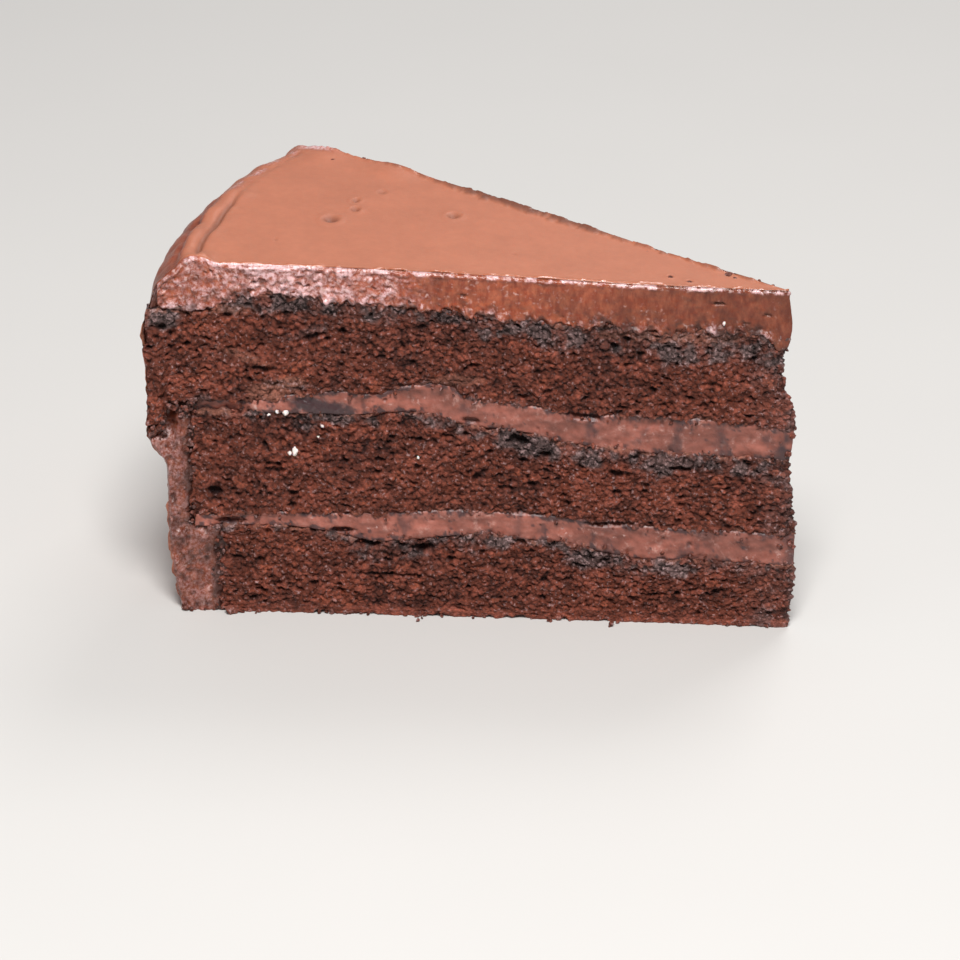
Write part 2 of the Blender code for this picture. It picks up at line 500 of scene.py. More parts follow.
class Loft:
    """A skin over closed sections, closed rung by rung at the tip."""

    def __init__(self, name: str, strips: tuple[Strip, Strip, Strip, Strip]) -> None:
        """Join four strips edge to edge.

        Args:
            name: Name of the piece.
            strips: The front cut upwards, the top from front to back, the back cut downwards and
                the underside from back to front.
        """
        self.name = name
        self.sections = np.concatenate([strip.points for strip in strips], axis=1)
        self.marks = {mark: np.concatenate([strip.mark(mark) for strip in strips], axis=1)
                      for mark in strips[0].marks}
        self.side = strips[0].points.shape[1]
        self.over = strips[1].points.shape[1]

    def faces(self) -> Array:
        """List the four corners of every skin face.

        Returns:
            Vertex numbers, shape (faces, 4).
        """
        stations, loop = self.sections.shape[:2]
        i = np.arange(stations - 1)[:, None]
        j = np.arange(loop)[None, :]
        k = (j + 1) % loop
        quads = np.stack((i * loop + j, i * loop + k, (i + 1) * loop + k, (i + 1) * loop + j), axis=-1)
        return quads.reshape(-1, 4)

    def ends(self) -> list[Array]:
        """List the faces across both ends.

        The tip leans in and out over its height, so rungs between the cuts
        follow it; the hidden end is one face.

        Returns:
            Vertex numbers of each face.
        """
        stations, loop = self.sections.shape[:2]
        front = np.arange(self.side)
        back = 2 * self.side + self.over - 1 - front
        rungs = np.stack((back[:-1], back[1:], front[1:], front[:-1]), axis=-1)
        lid = np.arange(self.side - 1, self.side + self.over + 1)[::-1]
        base = np.append(np.arange(back[0], loop), 0)[::-1]
        return [*rungs, lid, base, (stations - 1) * loop + np.arange(loop)]

    def build(self, material: bpy.types.Material) -> bpy.types.Object:
        """Make the mesh object.

        Args:
            material: Finish of the whole piece.

        Returns:
            The new object.
        """
        quads, ends = self.faces(), self.ends()
        corners = np.concatenate((quads.ravel(), *ends))
        end_starts = quads.size + np.cumsum([0] + [len(end) for end in ends[:-1]])
        starts = np.concatenate((np.arange(len(quads)) * 4, end_starts))
        return make_piece(self.name, self.sections, corners, starts, self.marks, material)


def report(piece: bpy.types.Object) -> None:
    """Write a piece's size to the log.

    Args:
        piece: The piece.
    """
    mesh = piece.data
    triangles = sum(len(face.vertices) - 2 for face in mesh.polygons)
    size = tuple(round(value / MM, 1) for value in piece.dimensions)
    LOG.info("%s: %d triangles, %s mm", piece.name, triangles, size)


def hand_over(piece: bpy.types.Object, slot: str, *nodes: str) -> None:
    """Put a piece on the cake's body in place of its plain solids.

    Args:
        piece: The piece.
        slot: Not used.
        nodes: Plain solids that it replaces.
    """
    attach(piece, "root")
    if nodes:
        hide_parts(*nodes)
    report(piece)


# --- Finishes --------------------------------------------------------------


MIX = {"data_type": "RGBA", "clamp_factor": True}
TINT = {"data_type": "RGBA", "clamp_factor": True, "blend_type": "MULTIPLY"}


def add(tree: bpy.types.NodeTree, kind: str, links: dict[int | str, object],
        settings: dict[str, object] | None = None, out: int | str = 0) -> bpy.types.NodeSocket:
    """Add one node with its settings and links.

    Args:
        tree: Where it goes.
        kind: Blender's name for the node, without "ShaderNode".
        links: Input sockets by number or name, each with its value or the output that feeds it.
        settings: Properties by name.
        out: Which output is wanted.

    Returns:
        That output.
    """
    node = tree.nodes.new("ShaderNode" + kind)
    for key, value in (settings or {}).items():
        setattr(node, key, value)
    for key, value in links.items():
        if isinstance(value, bpy.types.NodeSocket):
            tree.links.new(value, node.inputs[key])
        else:
            node.inputs[key].default_value = value
    return node.outputs[out]


def new_material(name: str) -> tuple[bpy.types.Material, bpy.types.NodeTree, bpy.types.Node]:
    """Start a material with only its shader and output.

    Args:
        name: Name of the material.

    Returns:
        The material, its nodes and its shader.
    """
    made = bpy.data.materials.new(name)
    made.use_nodes = True
    return made, made.node_tree, made.node_tree.nodes["Principled BSDF"]


@dataclass(frozen=True)
class CrumbFinish:
    """Baked chocolate sponge, torn open and smeared a little by the knife.

    Open crumb is matt and full of small shadows, painted as shade in its holes
    and as light on its lumps, and the greyish sheen of its moist walls is painted
    as pale highlight spots. The baked top of each layer is a thin skin, darker,
    greyer, a little shinier and painted lighter on its raised places.
    """

    # The darkest colour is painted shade in the holes; the raised colours are partly painted light on the
    # lumps.
    hollow_shade: str = "#270A05"
    body: str = "#662E1C"
    raised_lit: str = "#8B4938"
    ember: str = "#9A4E33"
    # Colour of the painted highlight spots of the sheen.
    painted_sheen: str = "#BC9A98"
    skin: str = "#1C0D0B"
    skin_raised_lit: str = "#6A5350"
    cream: str = "#94604F"
    # Walls between the holes of the crumb are 0.3 to 0.5 mm thick.
    wall_size: float = 0.5
    # Pores in those walls are near 0.1 mm; drawn three times as coarse, so that they show.
    pore_size: float = 0.35
    # Painted sheen spots and damp spots are 0.7 to 0.9 mm across, a wall or two wide.
    sheen_spot_size: float = 0.7
    damp_size: float = 0.9
    # The knife presses warm brown patches some 4 mm wide, and the bake varies over 7 mm.
    pressed_size: float = 4.0
    bake_size: float = 7.0
    # Heights of those patterns against their widths: the layer settles as it cools.
    flattened: tuple[float, float, float] = (0.7, 0.6, 0.5)
    roughness: float = 0.52
    skin_roughness: float = 0.42
    ior: float = 1.38
    pore_depth: float = 0.5

    def build(self) -> bpy.types.Material:
        """Make the material.

        Returns:
            The material.
        """
        made, tree, shader = new_material("baked_chocolate_crumb")
        where = add(tree, "TexCoord", {}, out="Object")
        flat, flatter, flattest = (
            add(tree, "Mapping", {0: where, "Scale": (1.0, 1.0, 1.0 / share)}) for share in self.flattened)
        relief, tone, skin, smear = (
            add(tree, "Attribute", {}, {"attribute_name": name}, "Fac")
            for name in ("relief", "tone", "skin", "smear"))
        wall, pressed, bake, damp, film, pore = (
            add(tree, "TexNoise",
                {0: place, "Scale": 1.0 / (size * MM), "Detail": detail, "Roughness": harsh})
            for place, size, detail, harsh in (
                (flat, self.wall_size, 3.0, 0.65), (flatter, self.pressed_size, 3.0, 0.6),
                (flattest, self.bake_size, 2.0, 0.5), (where, self.damp_size, 2.0, 0.5),
                (where, self.sheen_spot_size, 2.0, 0.6), (where, self.pore_size, 3.0, 0.65)))
        # Colour of the open crumb: painted shade in its holes, and painted light, redder and lighter, where
        # it stands up; the lumps' own tone varies as well.
        lit = add(tree, "MapRange", {0: relief, 1: 0.12, 2: 0.72})
        high = add(tree, "MapRange", {0: tone, 1: 0.40, 2: 0.95, 4: 0.95})
        warm = add(tree, "MapRange", {0: pressed, 1: 0.54, 2: 0.66, 4: 0.75})
        warm = add(tree, "Math", {0: warm, 1: high}, {"operation": "MULTIPLY"})
        colour = add(tree, "Mix", {0: lit, 6: linear(self.hollow_shade), 7: linear(self.body)}, MIX, 2)
        colour = add(tree, "Mix", {0: high, 6: colour, 7: linear(self.raised_lit)}, MIX, 2)
        colour = add(tree, "Mix", {0: warm, 6: colour, 7: linear(self.ember)}, MIX, 2)
        # Baked skin, painted lighter where it stands up, then cream dragged over the crumb.
        skin_lit_and_tone = add(tree, "Math", {0: relief, 1: tone}, {"operation": "ADD"})
        skin_lit_and_tone = add(tree, "MapRange", {0: skin_lit_and_tone, 1: 0.7, 2: 1.5})
        baked = add(tree, "Mix", {0: skin_lit_and_tone, 6: linear(self.skin), 7: linear(self.skin_raised_lit)}, MIX, 2)
        colour = add(tree, "Mix", {0: skin, 6: colour, 7: baked}, MIX, 2)
        colour = add(tree, "Mix", {0: smear, 6: colour, 7: linear(self.cream)}, MIX, 2)
        for pattern, low, top, dark, light in ((wall, 0.3, 0.7, 0.5, 1.5), (bake, 0.35, 0.65, 0.82, 1.2)):
            amount = add(tree, "MapRange", {0: pattern, 1: low, 2: top, 3: dark, 4: light})
            colour = add(tree, "Mix", {0: 1.0, 6: colour, 7: amount}, TINT, 2)
        # Painted sheen: pale highlight spots on the raised walls, a few more of them on the skin.
        film = add(tree, "Math", {0: skin, 1: 0.06, 2: film}, {"operation": "MULTIPLY_ADD"})
        film = add(tree, "MapRange", {0: film, 1: 0.59, 2: 0.72, 4: 0.7})
        film = add(tree, "Math", {0: film, 1: lit}, {"operation": "MULTIPLY"})
        colour = add(tree, "Mix", {0: film, 6: colour, 7: linear(self.painted_sheen)}, MIX, 2)
        tree.links.new(colour, shader.inputs["Base Color"])
        dull = add(tree, "MapRange", {0: skin, 3: self.roughness, 4: self.skin_roughness})
        damp = add(tree, "MapRange", {0: damp, 1: 0.56, 2: 0.66, 4: 0.27})
        dull = add(tree, "Math", {0: dull, 1: damp}, {"operation": "SUBTRACT"})
        tree.links.new(dull, shader.inputs["Roughness"])
        bump = add(tree, "Bump", {"Strength": 1.0, "Distance": self.pore_depth * MM, "Height": pore})
        tree.links.new(bump, shader.inputs["Normal"])
        shader.inputs["IOR"].default_value = self.ior
        return made


@dataclass(frozen=True)
class CreamFinish:
    """Chocolate buttercream: fat and sugar, whipped and spread.

    Where the spatula smoothed it, it is satin; where the knife went through,
    it is wetter and drawn into streaks, with paler fat and painted highlights
    on the raised spots, and painted glint spots.
    """

    name: str
    spread: str
    sliced: str
    streak: str
    # Pale fat colour, used as painted highlight on raised lumps, ridges and the lip as well.
    fat_glint: str
    stain_and_shade: str
    # Height of a streak against its width, for the knife draws it down.
    tall: float
    # Streaks are as wide as the grains that the knife drags, near 1 mm.
    streak_size: float = 0.9
    # Colour of painted glint spots.
    glint_spots: str = "#DDBBB4"
    # Undissolved sugar is near 0.1 mm; drawn three times as coarse, so that it shows.
    grain_size: float = 0.3
    # Flecks of fat and painted glint spots are just under 1 mm across.
    fleck_size: float = 0.6
    glint_spot_size: float = 0.9
    # Colour drifts over the 9 mm of a spatula's stroke, and over the 1.8 mm of its ripples.
    cloud_size: float = 9.0
    ripple_size: float = 1.8
    spread_roughness: float = 0.5
    sliced_roughness: float = 0.36
    wet_roughness: float = 0.17
    ior: float = 1.46
    subsurface: float = 0.12
    # Light soaks about 1.2 mm into fat and sugar, red the furthest.
    soak: float = 1.2
    grain_depth: float = 0.14

    def build(self) -> bpy.types.Material:
        """Make the material.

        Returns:
            The material.
        """
        made, tree, shader = new_material(self.name)
        where = add(tree, "TexCoord", {}, out="Object")
        upright = add(tree, "Mapping", {0: where, "Scale": (1.0, 1.0, 1.0 / self.tall)})
        relief, cut, dirt_and_shade, gloss, tone, fat_and_glint = (
            add(tree, "Attribute", {}, {"attribute_name": name}, "Fac")
            for name in ("relief", "cut", "dirt_and_shade", "gloss", "tone", "fat_and_glint"))
        drawn, fleck, spot, cloud, ripple, grain = (
            add(tree, "TexNoise",
                {0: place, "Scale": 1.0 / (size * MM), "Detail": detail, "Roughness": harsh})
            for place, size, detail, harsh in (
                (upright, self.streak_size, 3.0, 0.6), (where, self.fleck_size, 3.0, 0.75),
                (where, self.glint_spot_size, 1.5, 0.5), (where, self.cloud_size, 2.0, 0.5),
                (where, self.ripple_size, 3.0, 0.65), (where, self.grain_size, 2.0, 0.6)))
        # The cut: streaks, then pale fat and painted highlights on the raised places, then painted glint
        # spots.
        drawn = add(tree, "MapRange", {0: drawn, 1: 0.38, 2: 0.66})
        shades = add(tree, "MapRange", {0: tone, 3: 0.5, 4: 1.5})
        sliced = add(tree, "Mix", {0: drawn, 6: linear(self.sliced), 7: linear(self.streak)}, MIX, 2)
        sliced = add(tree, "Mix", {0: 1.0, 6: sliced, 7: shades}, TINT, 2)
        fleck = add(tree, "MapRange", {0: fleck, 1: 0.38, 2: 0.62, 3: -0.55, 4: 0.5})
        fleck = add(tree, "Math", {0: fat_and_glint, 1: fleck}, {"operation": "ADD"})
        fleck = add(tree, "Math", {0: fleck, 1: fat_and_glint}, {"operation": "MULTIPLY", "use_clamp": True})
        sliced = add(tree, "Mix", {0: fleck, 6: sliced, 7: linear(self.fat_glint)}, MIX, 2)
        spot = add(tree, "MapRange", {0: spot, 1: 0.60, 2: 0.70, 4: 0.65})
        spot = add(tree, "Math", {0: spot, 1: gloss}, {"operation": "MULTIPLY"})
        sliced = add(tree, "Mix", {0: spot, 6: sliced, 7: linear(self.glint_spots)}, MIX, 2)
        # The spread surface, and what both have in common; the relief mark darkens the low places as painted
        # shade.
        colour = add(tree, "Mix", {0: cut, 6: linear(self.spread), 7: sliced}, MIX, 2)
        for pattern, low, top, dark, light in (
                (cloud, 0.3, 0.7, 0.95, 1.05), (ripple, 0.3, 0.7, 0.955, 1.045),
                (relief, 0.0, 0.5, 0.55, 1.0)):
            amount = add(tree, "MapRange", {0: pattern, 1: low, 2: top, 3: dark, 4: light})
            colour = add(tree, "Mix", {0: 1.0, 6: colour, 7: amount}, TINT, 2)
        # Crumb dirt, and painted shade in the dents of the top and along the strip's seam with the sponge.
        colour = add(tree, "Mix", {0: dirt_and_shade, 6: colour, 7: linear(self.stain_and_shade)}, MIX, 2)
        tree.links.new(colour, shader.inputs["Base Color"])
        satin = add(tree, "MapRange", {0: cut, 3: self.spread_roughness, 4: self.sliced_roughness})
        satin = add(tree, "Mix", {0: gloss, 6: satin, 7: (self.wet_roughness,) * 3 + (1.0,)}, MIX, 2)
        tree.links.new(satin, shader.inputs["Roughness"])
        depth = add(tree, "MapRange", {0: cut, 3: 0.3, 4: 0.65})
        bump = add(tree, "Bump", {"Distance": self.grain_depth * MM, "Height": grain, "Strength": depth})
        tree.links.new(bump, shader.inputs["Normal"])
        shader.inputs["IOR"].default_value = self.ior
        shader.inputs["Subsurface Weight"].default_value = self.subsurface
        shader.inputs["Subsurface Radius"].default_value = (1.0, 0.45, 0.3)
        shader.inputs["Subsurface Scale"].default_value = self.soak * MM
        return made


# --- Places on the cuts ----------------------------------------------------


@dataclass(frozen=True)
class Spot:
    """An oval place on a cut: a hole that the knife tore, or a smear of crust or cream."""

    ring: float
    height: float
    half_length: float
    half_height: float
    amount: float
    slope: float = 0.0

    def gone(self, face: "CutFace") -> Array:
        """Distance from the middle, 1 at the outline; the back cut has the same spots, end for end.

        Args:
            face: The cut.

        Returns:
            Distances in parts of the oval.
        """
        off = face.ring - (self.ring if face.cut is Cut.FRONT else 112.0 - 0.92 * self.ring)
        rise = face.points[..., 2] - self.height - self.slope * off
        return np.hypot(off / self.half_length, rise / self.half_height)


# Holes and cracks; the amount is their depth in millimetres.
POCKETS = (
    Spot(49.1, 37.4, 2.2, 0.9, 1.6), Spot(44.4, 34.6, 1.4, 0.8, 1.3), Spot(31.2, 30.9, 1.9, 0.9, 1.3),
    Spot(105.8, 25.4, 1.4, 1.0, 1.3), Spot(81.6, 17.6, 3.0, 0.7, 1.8), Spot(77.9, 15.2, 2.6, 0.7, 1.5),
    Spot(67.1, 14.6, 2.1, 0.9, 1.8), Spot(33.0, 20.6, 5.5, 0.45, 1.3, -0.05),
    Spot(37.4, 42.6, 3.5, 0.6, 1.7, 0.10), Spot(71.2, 8.5, 6.5, 0.4, 0.9, 0.03),
    Spot(103.2, 19.2, 2.8, 0.6, 1.5), Spot(104.7, 14.0, 0.5, 4.0, 1.4), Spot(58.0, 41.0, 2.0, 0.6, 1.2, 0.1),
    Spot(96.0, 50.8, 2.6, 0.6, 1.0), Spot(20.0, 32.5, 2.4, 0.5, 1.0), Spot(24.0, 6.0, 3.6, 0.35, 0.8),
    Spot(88.0, 57.4, 2.8, 0.6, 1.1, -0.3), Spot(14.0, 50.0, 1.8, 0.6, 0.9), Spot(52.0, 27.5, 2.0, 0.5, 0.9),
    Spot(94.0, 30.0, 1.8, 0.7, 0.9),
)
ICING_SLITS = (
    Spot(13.7, 66.2, 1.5, 0.3, 0.7), Spot(5.4, 64.1, 1.2, 0.28, 0.6), Spot(9.0, 62.4, 0.9, 0.25, 0.5),
    Spot(60.0, 66.4, 0.8, 0.5, 0.5), Spot(98.0, 68.0, 1.2, 0.5, 0.5),
)
# Smears on the front cut; the amount is how much of the crumb they hide.
CRUST_PATCHES = (
    Spot(85.3, 42.0, 6.6, 1.9, 1.0, 0.2), Spot(35.5, 13.2, 5.0, 2.2, 0.9), Spot(92.0, 47.6, 4.5, 1.2, 0.7),
    Spot(88.0, 58.5, 4.0, 1.2, 0.55, -0.3), Spot(48.0, 36.6, 7.0, 2.4, 1.0, 0.25),
    Spot(22.0, 33.6, 7.0, 1.8, 0.9),
)
CREAM_PATCHES = (
    Spot(95.0, 45.8, 5.5, 1.9, 0.95, 0.1), Spot(91.6, 48.2, 4.0, 1.1, 0.85), Spot(21.0, 59.4, 13.0, 1.3, 0.6),
    Spot(61.0, 49.3, 5.0, 1.1, 0.6), Spot(104.0, 62.6, 5.0, 1.0, 0.5),
    Spot(101.0, 53.5, 5.5, 0.9, 0.55, 0.36),
)
WET_SMEAR = (Spot(85.3, 43.0, 6.6, 1.9, 1.0, 0.2),)


@dataclass(frozen=True)
class CutFace(Ground):
    """One piece's part of a cut, and how far its points lie from the apex."""

    ring: Array
    cut: Cut

    def at(self, points: Array) -> "CutFace":
        """The same part with its points moved."""
        return CutFace(points, self.seed, self.ring, self.cut)

    def pushed(self, push: Array) -> Array:
        """Points moved straight out of the cut by so many millimetres."""
        return self.points + SLICE.outward(self.ring, self.cut) * push[..., None]

    def holes(self, pockets: tuple[Spot, ...]) -> Array:
        """How far the listed holes go into the cut.

        Args:
            pockets: The holes.

        Returns:
            Depths in millimetres.
        """
        # The pieces share one wobble, so that a hole runs on from one into the next.
        wobble = 0.35 * rough(self.points, 1.6, SEED + 60, 2)
        depths = [pocket.amount * ease(1.15, 0.45, pocket.gone(self) + wobble) for pocket in pockets]
        return np.max(depths, axis=0)

    def smeared(self, patches: tuple[Spot, ...]) -> Array:
        """How much of the listed smears shows; all of them are on the front cut.

        Args:
            patches: The smears.

        Returns:
            Shares from 0 to 1.
        """
        if self.cut is Cut.BACK:
            return np.zeros(self.points.shape[:-1])
        wobble = 0.3 * rough(self.points, 1.8, SEED + 64, 3)
        return np.max([patch.amount * ease(1.2, 0.7, patch.gone(self) + wobble) for patch in patches], axis=0)


# --- Sponge ----------------------------------------------------------------


@dataclass(frozen=True)
class CrumbRelief:
    """Sizes of the crumb on a cut, in millimetres."""

    # Spacing of the lumps and of the grains on them, how flat both lie and how far they are bent.
    lump: float = 1.02
    grain: float = 0.58
    flatten: float = 1.12
    warp: float = 0.3
    # Heights of the lumps, of chance steps between them, of the grains, of torn edges, of the
    # finest roughness and of the broad swell, and depths of cracks between lumps and of air holes.
    lump_height: float = 0.22
    jumble: float = 0.30
    grain_height: float = 0.20
    torn_height: float = 0.28
    fine_height: float = 0.11
    swell_height: float = 0.36
    crevice: float = 0.20
    pit: float = 0.95
    # Air holes: how space is scaled level and upright, their spacing, and in parts of it the least
    # radius and how much more the largest ones have.
    round_holes: tuple[float, ...] = (0.8, 1.25, 2.6, 0.10, 0.22)
    long_holes: tuple[float, ...] = (0.55, 1.45, 2.3, 0.06, 0.20)

    def measure(self, face: Ground) -> tuple[Array, Array]:
        """Height of the crumb and a random tone for each lump.

        Args:
            face: The cut before its relief.

        Returns:
            Height out of the cut in millimetres, and tone from 0 to 1.
        """
        bend = np.stack([face.noise(1.7, 5 * axis) for axis in range(3)], axis=-1)
        bent = Ground(stretched(face.points + self.warp * bend, 1.0, self.flatten), face.seed)
        near, second, own = bent.grains(self.lump, 0)
        small, _, small_own = bent.grains(self.grain, 3)
        height = self.lump_height * dome(near, 0.6)
        height += self.jumble * (own - 0.5)
        height += self.grain_height * dome(small, 0.6)
        height += self.torn_height * bent.noise(2.1, 12, 4, 0.62)
        height += self.fine_height * face.noise(0.62, 13, 2)
        height += self.swell_height * face.noise(9.0, 9)
        height -= self.crevice * bell(second - near, 0.0, 0.16)
        for number, holes in ((7, self.round_holes), (8, self.long_holes)):
            level, upright, spacing, least, more = holes
            away, _, size = bent.grains(spacing, number, level, upright)
            radius = least + more * size * size
            height -= self.pit * ease(radius * 1.25, radius * 0.45, away)
        tone = 0.5 + 0.36 * (own - 0.5) + 0.30 * (small_own - 0.5) + 0.28 * face.noise(1.8, 15)
        return height, tone


@dataclass(frozen=True)
class SpongeLayer:
    """One layer of sponge between two joints."""

    name: str
    node: str
    end: float
    over: Table
    under: Table | None
    seed: int
    # Thickness of the dark baked skin along the top of the layer, by ring.
    skin: Table
    # End of the layer: how far a thin ledge along the front cut reaches past it and goes across,
    # and how far the layer hangs down there.
    flap: float = 0.0
    flap_across: float = 0.042
    hang: float = 0.0
    relief: CrumbRelief = CrumbRelief()
    rows: int = 82
    across_cells: int = 8
    station: float = 0.245
    # Raggedness of the layer's edges and of its end: how high, and how far in it reaches.
    ragged_edge: float = 0.65
    edge_reach: float = 2.6
    ragged_end: float = 0.75
    end_reach: float = 5.0

    def build(self, finish: bpy.types.Material) -> bpy.types.Object:
        """Loft the layer.

        Args:
            finish: Material of the crumb.

        Returns:
            The piece.
        """
        rings = SLICE.stations(self.end, self.station)
        flap_rings = np.arange(self.end + 0.02, self.end + self.flap, self.station)
        ring = np.concatenate((rings, flap_rings))[:, None]
        back = np.where(ring <= self.end, 1.0, self.flap_across)
        rise = np.linspace(0.0, 1.0, self.rows + 1)
        step = np.linspace(0.0, 1.0, self.across_cells + 1)[1:-1]
        return Loft(self.name, (
            self.face(ring, np.zeros_like(ring), rise, Cut.FRONT),
            self.lid(ring, back * step[None, :], 1.0),
            self.face(ring, back, rise[::-1], Cut.BACK),
            self.lid(ring, back * step[None, ::-1], 0.0),
        )).build(finish)

    def heights(self, ring: Array, across: Array, rise: Array | float) -> Array:
        """Heights in the layer.

        Args:
            ring: Distance from the apex.
            across: Place across the wedge.
            rise: 0 at the bottom of the layer and 1 at its top.

        Returns:
            Heights in millimetres.
        """
        high = SLICE.level(self.over, ring, across)
        low = np.zeros_like(high) if self.under is None else SLICE.level(self.under, ring, across)
        low = low - self.hang * ease(self.end - 2.2, self.end - 0.4, ring)
        return low + (high - low) * rise

    def lid(self, ring: Array, across: Array, rise: float) -> Strip:
        """Top or bottom of the layer between its cuts; rise is 1 for the top."""
        points = SLICE.place(ring, across, self.heights(ring, across, rise))
        return Strip(points, {"relief": 0.6, "tone": 0.5, "skin": rise, "smear": 0.0})

    def face(self, ring: Array, across: Array, rise: Array, cut: Cut) -> Strip:
        """One cut of the layer, with its crumb.

        Args:
            ring: Distance from the apex.
            across: Place across the wedge.
            rise: Heights in the layer from 0 to 1.
            cut: Which cut.

        Returns:
            The cut.
        """
        rise = rise[None, :]
        low, high = self.heights(ring, across, 0.0), self.heights(ring, across, 1.0)
        face = CutFace(SLICE.place(ring, across, low + (high - low) * rise), self.seed, ring, cut)
        to_top, to_base = (high - low) * (1.0 - rise), (high - low) * rise
        to_joint = to_top if self.under is None else np.minimum(to_top, to_base)
        ragged = face.noise(4.5, 40, 4, 0.6)
        skin = self.baked(face, ragged, to_top, to_base)
        height, tone = self.relief.measure(face)
        # Upper and lower edges wander, and the base that stood in the tin is denser.
        edge = self.ragged_edge * (ragged + face.noise(1.5, 44))
        calm_end = 1.0 - 0.8 * ease(self.end - 1.0, self.end + 0.5, ring)
        points = face.points.copy()
        points[..., 2] += edge * ease(self.edge_reach, 0.0, to_top) * calm_end
        if self.under is None:
            dense = ease(2.4, 1.2, to_base + 0.5 * ragged)
            height = height * (1.0 - 0.55 * dense)
            tone = tone + 0.3 * dense
            nibbled = ease(-0.1, 0.7, face.at(points).noise(2.6, 51))
            points[..., 2] += 0.8 * nibbled * ease(1.4, 0.0, to_base)
        else:
            points[..., 2] += edge * ease(self.edge_reach, 0.0, to_base)
        face = face.at(points)
        height = height * (1.0 - 0.05 * skin) - face.holes(POCKETS)
        face = face.at(self.moved(face, height, to_joint))
        # The relief mark paints shade in the low places of the crumb and light on its raised ones, and the
        # tone is lifted where it stands up, as painted light.
        relief = np.clip(0.55 + 0.55 * height, 0.0, 1.0)
        tone = np.clip(tone + 0.25 * (relief - 0.5), 0.0, 1.0)
        near_joint = bell(to_joint, 0.0, 1.0) + 0.6 * face.noise(1.7, 57, 4, 0.6)
        patches = face.smeared(CREAM_PATCHES) * (0.4 + 0.6 * relief)
        smear = np.maximum(0.7 * ease(0.75, 1.3, near_joint), patches)
        return Strip(face.points, {"relief": relief, "tone": tone, "skin": skin, "smear": smear})

    def baked(self, face: CutFace, ragged: Array, to_top: Array, to_base: Array) -> Array:
        """Dark baked skin: along the top, here and there along the base, and at the tip.

        Args:
            face: The cut before its relief.
            ragged: Noise that the skin's edge follows.
            to_top: Distance below the top of the layer.
            to_base: Distance above its base.

        Returns:
            Shares from 0 to 1.
        """
        thick = along(self.skin, face.ring) + 2.4 * ragged
        skin = ease(0.9, -0.9, to_top - thick) * ease(0.2, 1.4, thick)
        if self.under is not None:
            below = 1.1 * face.noise(5.0, 47) - 0.1
            skin = np.maximum(skin, 0.7 * ease(0.7, -0.7, to_base - 1.6 * below) * ease(0.0, 0.5, below))
        skin = np.maximum(skin, 0.7 * ease(8.0, 1.0, face.ring - SLICE.blunt + 2.5 * ragged))
        skin = skin * (0.3 + 0.7 * ease(-0.35, 0.25, face.noise(2.3, 49)))
        return np.maximum(skin, face.smeared(CRUST_PATCHES))

    def moved(self, face: CutFace, height: Array, to_joint: Array) -> Array:
        """Push the crumb out of the cut, and the torn end of the layer along it.

        Args:
            face: The cut before its relief.
            height: Height of the crumb.
            to_joint: Distance from the nearest joint, where the crumb is tucked in.

        Returns:
            Positions in millimetres.
        """
        ring = face.ring
        slim = np.maximum(np.maximum(SLICE.slim(ring), 0.9 * ease(3.4, 1.6, ring)), 0.5)
        tuck = 0.4 * ease(0.45, 0.0, to_joint)
        push = np.maximum(0.2 + height * slim - tuck * slim, -0.17 * ring - 0.3)
        torn = self.ragged_end * (0.4 + face.noise(2.4, 53, level=0.2))
        torn = torn * ease(self.end - self.end_reach, self.end, ring) * ease(62.5, 60.0, face.points[..., 2])
        return face.pushed(push) + SLICE.along_cut(face.cut) * torn[..., None]


SPONGE_LAYERS = (
    SpongeLayer(
        "sponge_base_layer", "sponge_bottom", SLICE.bottom_sponge_end, SLICE.lower_filling_bottom, None,
        SEED + 1,
        ((0.0, 2.0), (25.0, 3.0), (36.0, 4.0), (45.0, 2.0), (60.0, 2.0), (68.0, 3.0), (82.0, 2.5),
         (95.0, 1.2)),
    ),
    SpongeLayer(
        "sponge_centre_layer", "sponge_middle", SLICE.middle_end, SLICE.upper_filling_bottom,
        SLICE.lower_filling_top, SEED + 2,
        ((0.0, 4.0), (20.0, 3.5), (35.0, 4.0), (50.0, 3.5), (60.0, 2.5), (75.0, 1.5), (85.0, 2.5),
         (105.0, 1.2)),
    ),
    SpongeLayer(
        "sponge_top_layer", "sponge_top", SLICE.top_sponge_end, SLICE.under_icing, SLICE.upper_filling_top,
        SEED + 3,
        ((0.0, 7.5), (22.0, 7.0), (30.0, 5.5), (45.0, 4.5), (60.0, 3.8), (102.0, 3.8), (106.0, 0.6),
         (112.0, 0.6), (115.0, 4.0), (120.0, 4.0)),
        flap=2.2, hang=6.4,
    ),
)


# --- Filling ---------------------------------------------------------------


# What the finish reads where sponge hides the cream.
HIDDEN_CREAM: Marks = {"relief": 1.0, "cut": 1.0, "dirt_and_shade": 0.0, "gloss": 0.0, "tone": 0.5, "fat_and_glint": 0.0}


